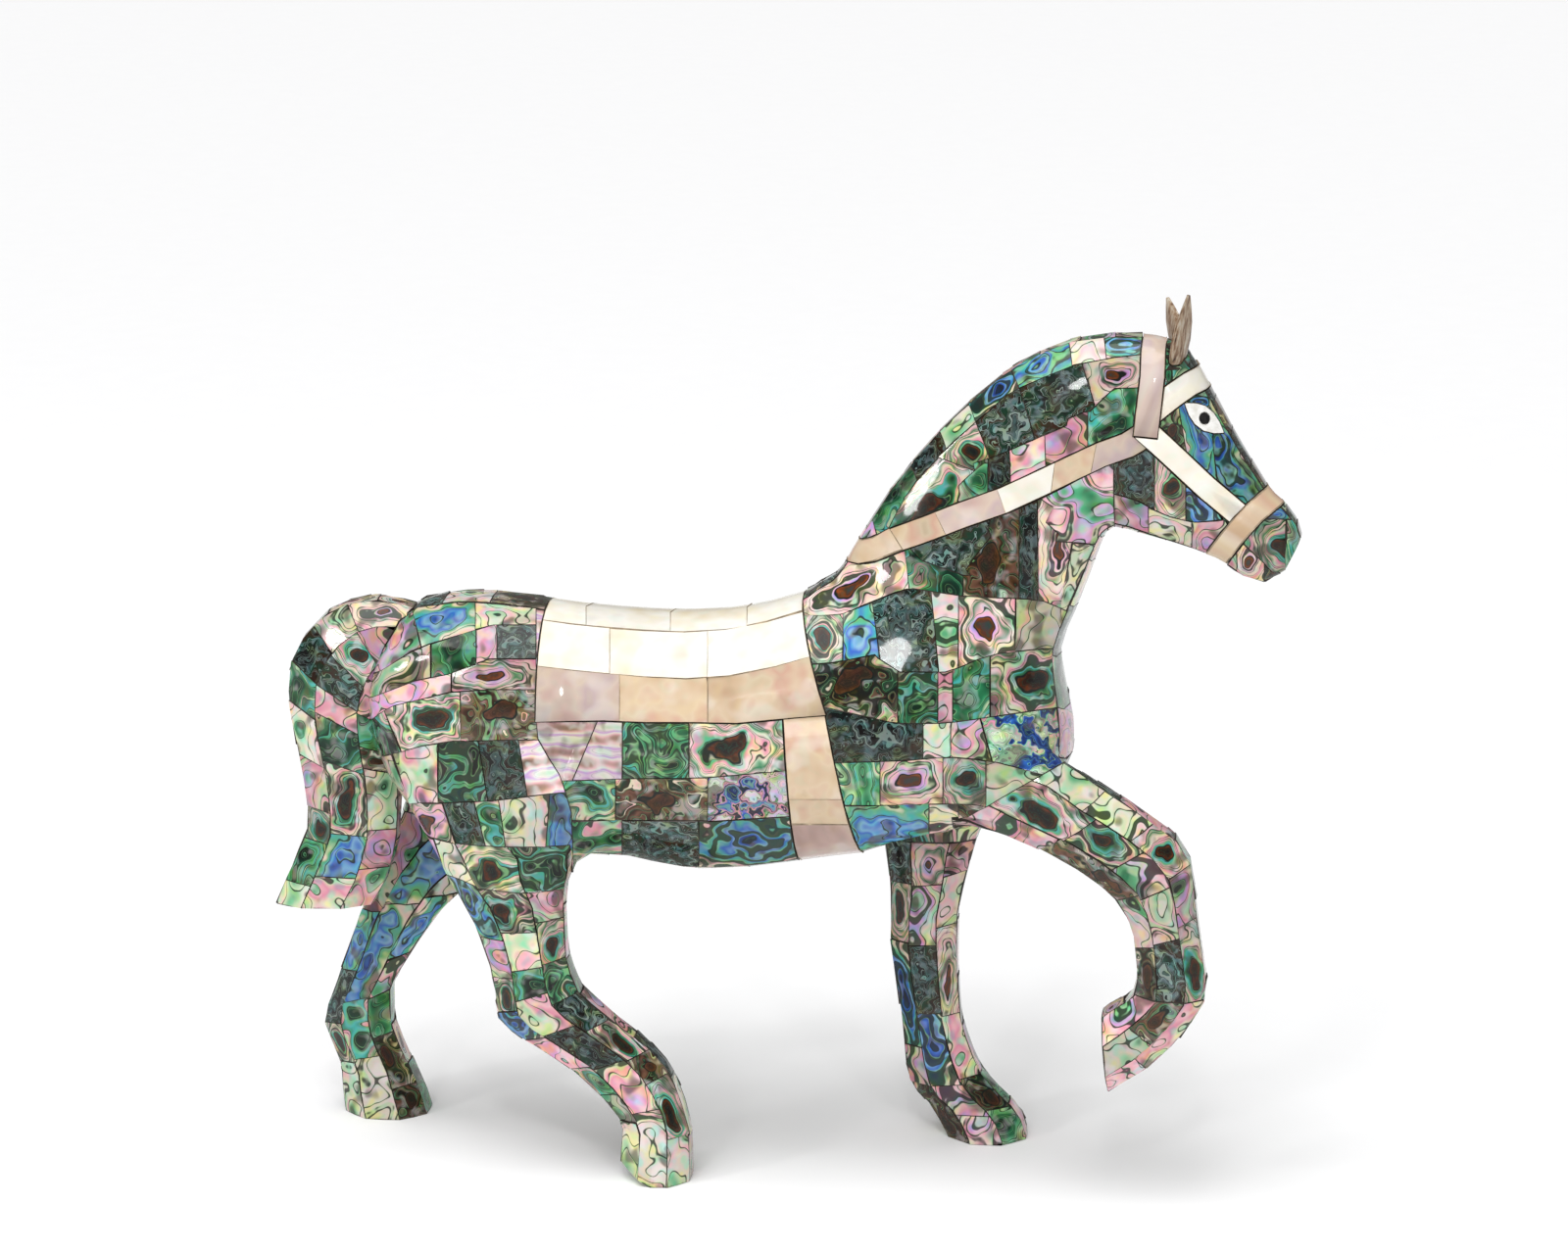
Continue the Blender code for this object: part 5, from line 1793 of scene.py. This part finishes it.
class Workshop:
    """Makes every finish of the sculpture."""

    tile_spacing = 161.0
    relief_distance = 0.0004
    coat_rough = 0.04
    coat_index = 1.5
    shell_index = 1.45
    shine = 0.08

    def tiles(self) -> tuple[dict[Shell, int], list[bpy.types.Material]]:
        """The finishes of tiles and their slot numbers.

        Returns:
            The slot of each cut of shell and the materials in slot order.
        """
        slots = {Shell.GROUT: 0, Shell.PUTTY: 1}
        made = [self.filler("joint_filler", (0.035, 0.028, 0.022)),
                self.filler("pearl_joint_filler", (0.36, 0.28, 0.19))]
        for shell, finish in FINISHES.items():
            slots[shell] = len(made)
            made.append(self.shell(finish))
        return slots, made

    def shell(self, finish: ShellFinish) -> bpy.types.Material:
        """One cut of shell.

        Args:
            finish: How it is figured.

        Returns:
            The material.
        """
        g = Graph(finish.name)
        figure = self.figure(g, finish)
        colour, line = self.growth(g, finish, figure)
        if finish.core > 0.0:
            colour = self.core(g, finish, figure, colour)
        colour = self.light(g, finish, figure, self.margin(g, finish, figure, colour))
        relief = line * -0.5 + g.noise(figure.spot, 1.3, 2.0) * 0.2
        bump = g.node("ShaderNodeBump", None, {
            "Strength": finish.bump, "Distance": self.relief_distance, "Height": relief})
        self.surface(g, colour, g.noise(figure.spot, 0.5, 2.0) * 0.16 + 0.10, g.wire(bump))
        return g.material

    def figure(self, g: Graph, finish: ShellFinish) -> Figure:
        """The height field of one cut, bent by a slow drift.

        Args:
            g: The finish's node tree.
            finish: How it is figured.

        Returns:
            The figure's wires.
        """
        seed = g.wire(g.node("ShaderNodeAttribute", {
            "attribute_type": "GEOMETRY", "attribute_name": "tile_seed"}), 2)
        u, v, _ = g.parts(g.wire(g.node("ShaderNodeUVMap", {"uv_map": "tile_mm"})))
        across, along, _ = g.parts(g.wire(g.node("ShaderNodeUVMap", {"uv_map": "tile_span"})))
        spot = g.joined(u, v, seed * self.tile_spacing)
        drift = g.vector("SUBTRACT", g.noise(spot, 1.0 / finish.wobble_size, 1.0, 0.4, 1), (0.5, 0.5, 0.5))
        bent = g.vector("ADD", spot, g.scaled(drift, finish.wobble))
        off_one, off_two, _ = g.parts(g.scaled(drift, finish.wobble * 0.24))
        lean, side = g.maths("SINE", seed * 97.0), g.maths("COSINE", seed * 57.0)
        away_one = across * 0.92 + off_one + lean * 0.22
        away_two = along + off_two + side * 0.18
        distance = g.maths("SQRT", away_one * away_one + away_two * away_two)
        cloud = g.noise(bent, 1.0 / finish.swirl_size, 0.6, 0.4) - 0.5
        height = distance * finish.ring + cloud * (finish.swirl * 2.0) + finish.base
        if finish.layers > 0.0:
            ripple = g.maths("SINE", g.parts(bent)[0] * 0.85 + lean * 4.0)
            height = height + ripple * (finish.layers * 0.3)
        return Figure(seed, across, along, spot, bent, distance, cloud, height)

    @staticmethod
    def growth(g: Graph, finish: ShellFinish, figure: Figure) -> tuple[Wire, Wire]:
        """Growth bands at uneven distances, with silvery parts that are partly painted highlight, horn-like
        parts and dark growth lines.

        Args:
            g: The finish's node tree.
            finish: How it is figured.
            figure: The figure's wires.

        Returns:
            The colour, and where the growth lines are.
        """
        height, seed, spot, bent = figure.height, figure.seed, figure.spot, figure.bent
        count = (height + g.maths("SINE", height * 23.0 + seed * 50.0) * 0.05) * finish.lines
        band = g.maths("FLOOR", count)
        part = count - band
        draw = g.wire(g.node("ShaderNodeTexWhiteNoise", {"noise_dimensions": "1D"}, {
            "W": band + g.maths("FLOOR", seed * 997.0)}), 0)
        slow = g.noise(spot, 0.16, 1.0) - 0.5
        place = height + (draw - 0.5) * finish.jump + slow * finish.drift
        colour = g.ramp(g.maths("PINGPONG", place, 1.0), finish.ground)
        # Silvery patches, partly painted highlight
        silver_and_highlight_patch = g.step(g.noise(bent, 1.0 / finish.silver_and_highlight_size, 1.0, 0.5), 0.50, 0.68)
        colour = g.mix(silver_and_highlight_patch * finish.silver_and_highlight_share, colour, finish.silver_and_highlight_colour)
        smoky = g.step(g.noise(bent, 0.13, 1.0, 0.5), 0.56, 0.66)
        colour = g.mix(smoky * finish.smoke_share, colour, finish.smoke_colour)
        near = g.maths("MINIMUM", part, 1.0 - part)
        width = (g.noise(spot, 0.32, 1.0) * 1.9 - 0.15) * finish.line_width
        line = 1.0 - g.step(near / g.maths("MAXIMUM", width, 0.004), 0.55, 1.0)
        if finish.glow_share > 0.0:
            colour = g.mix(g.step(part, 0.72, 0.93) * finish.glow_share, colour, finish.glow_colour)
        return g.mix(line * finish.line_share, colour, finish.line_colour), line

    @staticmethod
    def core(g: Graph, finish: ShellFinish, figure: Figure, colour: Wire) -> Wire:
        """A veined dark core in the tile's middle, with a dark line round it.

        Args:
            g: The finish's node tree.
            finish: How it is figured.
            figure: The figure's wires.
            colour: The colour round the core.

        Returns:
            The colour with the core.
        """
        inner = figure.distance + figure.cloud * 0.5
        dark, brown, bright = finish.core_colours
        veins = g.noise(figure.bent, 0.42, 2.0, 0.6) - 0.5
        depth = g.maths("ADD", inner / finish.core * 0.85, veins * 1.1, True)
        heart = g.ramp(depth, ((0.2, dark), (0.62, brown), (0.94, bright)))
        curl = g.maths("ABSOLUTE", g.maths("FRACT", depth * 4.0 + veins) - 0.5)
        heart = g.mix((1.0 - g.step(curl, 0.05, 0.2)) * finish.vein_share, heart, finish.vein_colour)
        line = 1.0 - g.step(inner, finish.core + 0.04, finish.core + 0.07)
        colour = g.mix(line, colour, finish.line_colour)
        return g.mix(1.0 - g.step(inner, finish.core - 0.015, finish.core + 0.015), colour, heart)

    @staticmethod
    def margin(g: Graph, finish: ShellFinish, figure: Figure, colour: Wire) -> Wire:
        """A browner, clearer margin along parts of the joint.

        Args:
            g: The finish's node tree.
            finish: How it is figured.
            figure: The figure's wires.
            colour: The colour without the margin.

        Returns:
            The colour with the margin.
        """
        edge = g.maths("MAXIMUM", g.maths("ABSOLUTE", figure.across), g.maths("ABSOLUTE", figure.along))
        rim = g.step(edge + (g.noise(figure.spot, 0.3, 2.0) - 0.5) * 0.9, 0.92, 1.12)
        return g.mix(rim * finish.margin, colour, finish.margin_colour)

    @staticmethod
    def light(g: Graph, finish: ShellFinish, figure: Figure, colour: Wire) -> Wire:
        """Painted iridescent sheen, greener, pinker or yellower from part to part, and painted facet
        reflection, each tile in its own tone.

        Args:
            g: The finish's node tree.
            finish: How it is figured.
            figure: The figure's wires.
            colour: The even colour.

        Returns:
            The colour with its painted sheen and painted facet reflection.
        """
        # Painted iridescent sheen: a slow noise picks a tint that is multiplied into the colour
        sheen_tint = g.ramp(g.noise(figure.spot, 0.21, 1.0), SHEEN_TINTS)
        colour = g.mix(finish.sheen_share, colour, g.mix(1.0, colour, sheen_tint, "MULTIPLY"))
        # Painted facet reflection: each tile lighter or darker by its own number
        tone = g.maths("FRACT", figure.seed * 613.0) * finish.facet_shade_range + (1.02 - finish.facet_shade_range)
        return g.mix(1.0, colour, g.joined(tone, tone, tone), "MULTIPLY")

    def surface(self, g: Graph, colour: Wire, rough: Wire | float, normal: Wire | None = None,
                coat: float = 0.4) -> None:
        """A polished and waxed surface as the material's output.

        Args:
            g: The finish's node tree.
            colour: The base colour.
            rough: The roughness.
            normal: The relief, where there is one.
            coat: How much wax there is.
        """
        inputs = {"Base Color": colour, "Roughness": rough, "Coat Weight": coat,
                  "Coat Roughness": self.coat_rough, "Coat IOR": self.coat_index,
                  "IOR": self.shell_index, "Specular IOR Level": self.shine}
        if normal is not None:
            inputs["Normal"] = normal
        node = g.node("ShaderNodeBsdfPrincipled", None, inputs)
        g.node("ShaderNodeOutputMaterial", None, {0: g.wire(node)})

    @staticmethod
    def coordinates(g: Graph) -> Wire:
        """The object's own coordinates, in millimetres."""
        return g.scaled(g.wire(g.node("ShaderNodeTexCoord"), 3), 1.0 / MM)

    def filler(self, name: str, tone: Colour) -> bpy.types.Material:
        """Glue line between tiles, mottled round a tone.

        Args:
            name: The material's name.
            tone: Its middle colour.

        Returns:
            The material.
        """
        g = Graph(name)
        at = self.coordinates(g)
        dark, light = tuple(0.6 * part for part in tone), tuple(1.7 * part for part in tone)
        colour = g.ramp(g.noise(at, 0.25, 3.0), ((0.35, dark), (0.55, tone), (0.7, light)))
        self.surface(g, colour, g.noise(at, 1.1, 2.0) * 0.3 + 0.32, None, 0.35)
        return g.material

    def horn_shell(self) -> bpy.types.Material:
        """Grey-beige shell of the ears, streaked along the ear.

        Returns:
            The material.
        """
        g = Graph("grey_brown_shell")
        at = self.coordinates(g)
        x, y, z = g.parts(at)
        streak = g.noise(g.joined(x * 0.55, y * 1.2, z * 0.22), 0.9, 4.0, 0.6)
        colour = g.ramp(streak, ((0.32, (0.050, 0.030, 0.020)), (0.44, (0.22, 0.13, 0.075)),
                                 (0.56, (0.40, 0.31, 0.22)), (0.70, (0.52, 0.48, 0.40))))
        self.surface(g, colour, g.noise(at, 0.8, 2.0) * 0.2 + 0.14)
        return g.material

    def white_shell(self) -> bpy.types.Material:
        """White shell of the eyes.

        Returns:
            The material.
        """
        g = Graph("white_shell")
        at = self.coordinates(g)
        colour = g.ramp(g.noise(at, 0.5, 3.0), ((0.3, (0.70, 0.68, 0.62)), (0.6, (0.90, 0.89, 0.86))))
        self.surface(g, colour, g.noise(at, 0.9, 2.0) * 0.12 + 0.10)
        return g.material

    def black_shell(self) -> bpy.types.Material:
        """Polished black of the pupils.

        Returns:
            The material.
        """
        g = Graph("black_shell")
        at = self.coordinates(g)
        colour = g.ramp(g.noise(at, 0.7, 3.0), ((0.4, (0.008, 0.008, 0.009)), (0.8, (0.03, 0.028, 0.026))))
        self.surface(g, colour, g.noise(at, 0.9, 2.0) * 0.08 + 0.05)
        return g.material

    def paper(self) -> bpy.types.Material:
        """Matt white backdrop.

        Returns:
            The material.
        """
        g = Graph("studio_paper")
        at = g.wire(g.node("ShaderNodeTexCoord"), 3)
        colour = g.ramp(g.noise(at, 60.0, 3.0), ((0.3, (0.955, 0.955, 0.96)), (0.7, (0.965, 0.965, 0.97))))
        self.surface(g, colour, g.noise(at, 90.0, 2.0) * 0.1 + 0.6, None, 0.0)
        return g.material


# Studio


@dataclass(frozen=True)
class SoftBox:
    """A soft lamp: where it stands, its size and power; all shine at the horse's middle."""

    name: str
    place: Colour
    size: float = 0.13
    power: float = 1.6


LAMPS = (
    SoftBox("lamp_one", (0.55, -1.15, 0.75)),
    SoftBox("lamp_two", (0.10, -1.05, 1.05)),
    SoftBox("lamp_three", (-0.35, -1.20, 0.70)),
    SoftBox("lamp_four", (-0.95, -0.65, 0.75)),
)


@dataclass
class Studio:
    """White table top, soft lamps and the camera."""

    paper: bpy.types.Material
    half_floor: float = 9.0
    lit_height: float = 0.14
    sky_power: float = 2.75
    sky_spread: float = 55.0
    sky_tilt: tuple[float, float] = (16.0, -8.0)
    room: float = 0.20
    focal_length: float = 101.35
    film_width: float = 36.0
    farthest: float = 40.0

    def build(self) -> None:
        """Puts up floor, lamps, camera and world."""
        self.floor()
        for lamp in LAMPS:
            light = bpy.data.lights.new(lamp.name, "AREA")
            light.shape = "DISK"
            light.size = lamp.size
            light.energy = lamp.power
            way = Vector((0.0, 0.0, self.lit_height)) - Vector(lamp.place)
            holder = self.hung(lamp.name, light)
            holder.location = lamp.place
            holder.rotation_euler = way.to_track_quat("-Z", "Y").to_euler()
        light = bpy.data.lights.new("skylight", "SUN")
        light.energy = self.sky_power
        light.angle = math.radians(self.sky_spread)
        above = self.hung("skylight", light)
        above.rotation_euler = (math.radians(self.sky_tilt[0]), math.radians(self.sky_tilt[1]), 0.0)
        self.camera()
        self.world()

    @staticmethod
    def hung(name: str, data: bpy.types.ID) -> bpy.types.Object:
        """Puts a lamp, a camera or a mesh into the studio.

        Args:
            name: Its name.
            data: The lamp, camera or mesh.

        Returns:
            The object.
        """
        made = bpy.data.objects.new(name, data)
        bpy.context.scene.collection.objects.link(made)
        return made

    def floor(self) -> None:
        """Lays the table top."""
        work = bmesh.new()
        bmesh.ops.create_grid(work, x_segments=1, y_segments=1, size=self.half_floor)
        mesh = bpy.data.meshes.new("table_top")
        work.to_mesh(mesh)
        work.free()
        mesh.materials.append(self.paper)
        self.hung("table_top", mesh)

    def camera(self) -> None:
        """Stands the camera where the sheet is seen from."""
        lens = bpy.data.cameras.new("camera")
        lens.lens = self.focal_length
        lens.sensor_width = self.film_width
        lens.clip_end = self.farthest
        holder = self.hung("camera", lens)
        holder.location = Sheet.eye
        holder.rotation_euler = Vector(Sheet.ahead).to_track_quat("-Z", "Y").to_euler()
        bpy.context.scene.camera = holder

    def world(self) -> None:
        """Gives the room even white surroundings."""
        world = bpy.data.worlds.new("white_room")
        world.use_nodes = True
        bpy.context.scene.world = world
        back = world.node_tree.nodes["Background"]
        back.inputs[0].default_value = (1.0, 1.0, 1.0, 1.0)
        back.inputs[1].default_value = self.room
        bpy.context.scene.view_settings.view_transform = "Standard"


def main() -> None:
    """Builds the sculpture and its studio."""
    logging.basicConfig(level=logging.INFO, format="%(message)s")
    rng = random.Random(DRAWING)
    workshop = Workshop()
    slots, materials = workshop.tiles()
    sheet = Sheet()
    horse = Horse(sheet, slots, materials, rng)
    horse.survey()
    horse.build()
    Tack(sheet, horse.charts["trunk"], slots, materials, rng).build()
    Features(workshop.horn_shell(), workshop.white_shell(), workshop.black_shell()).build()
    Studio(workshop.paper()).build()


if __name__ == "__main__":
    main()
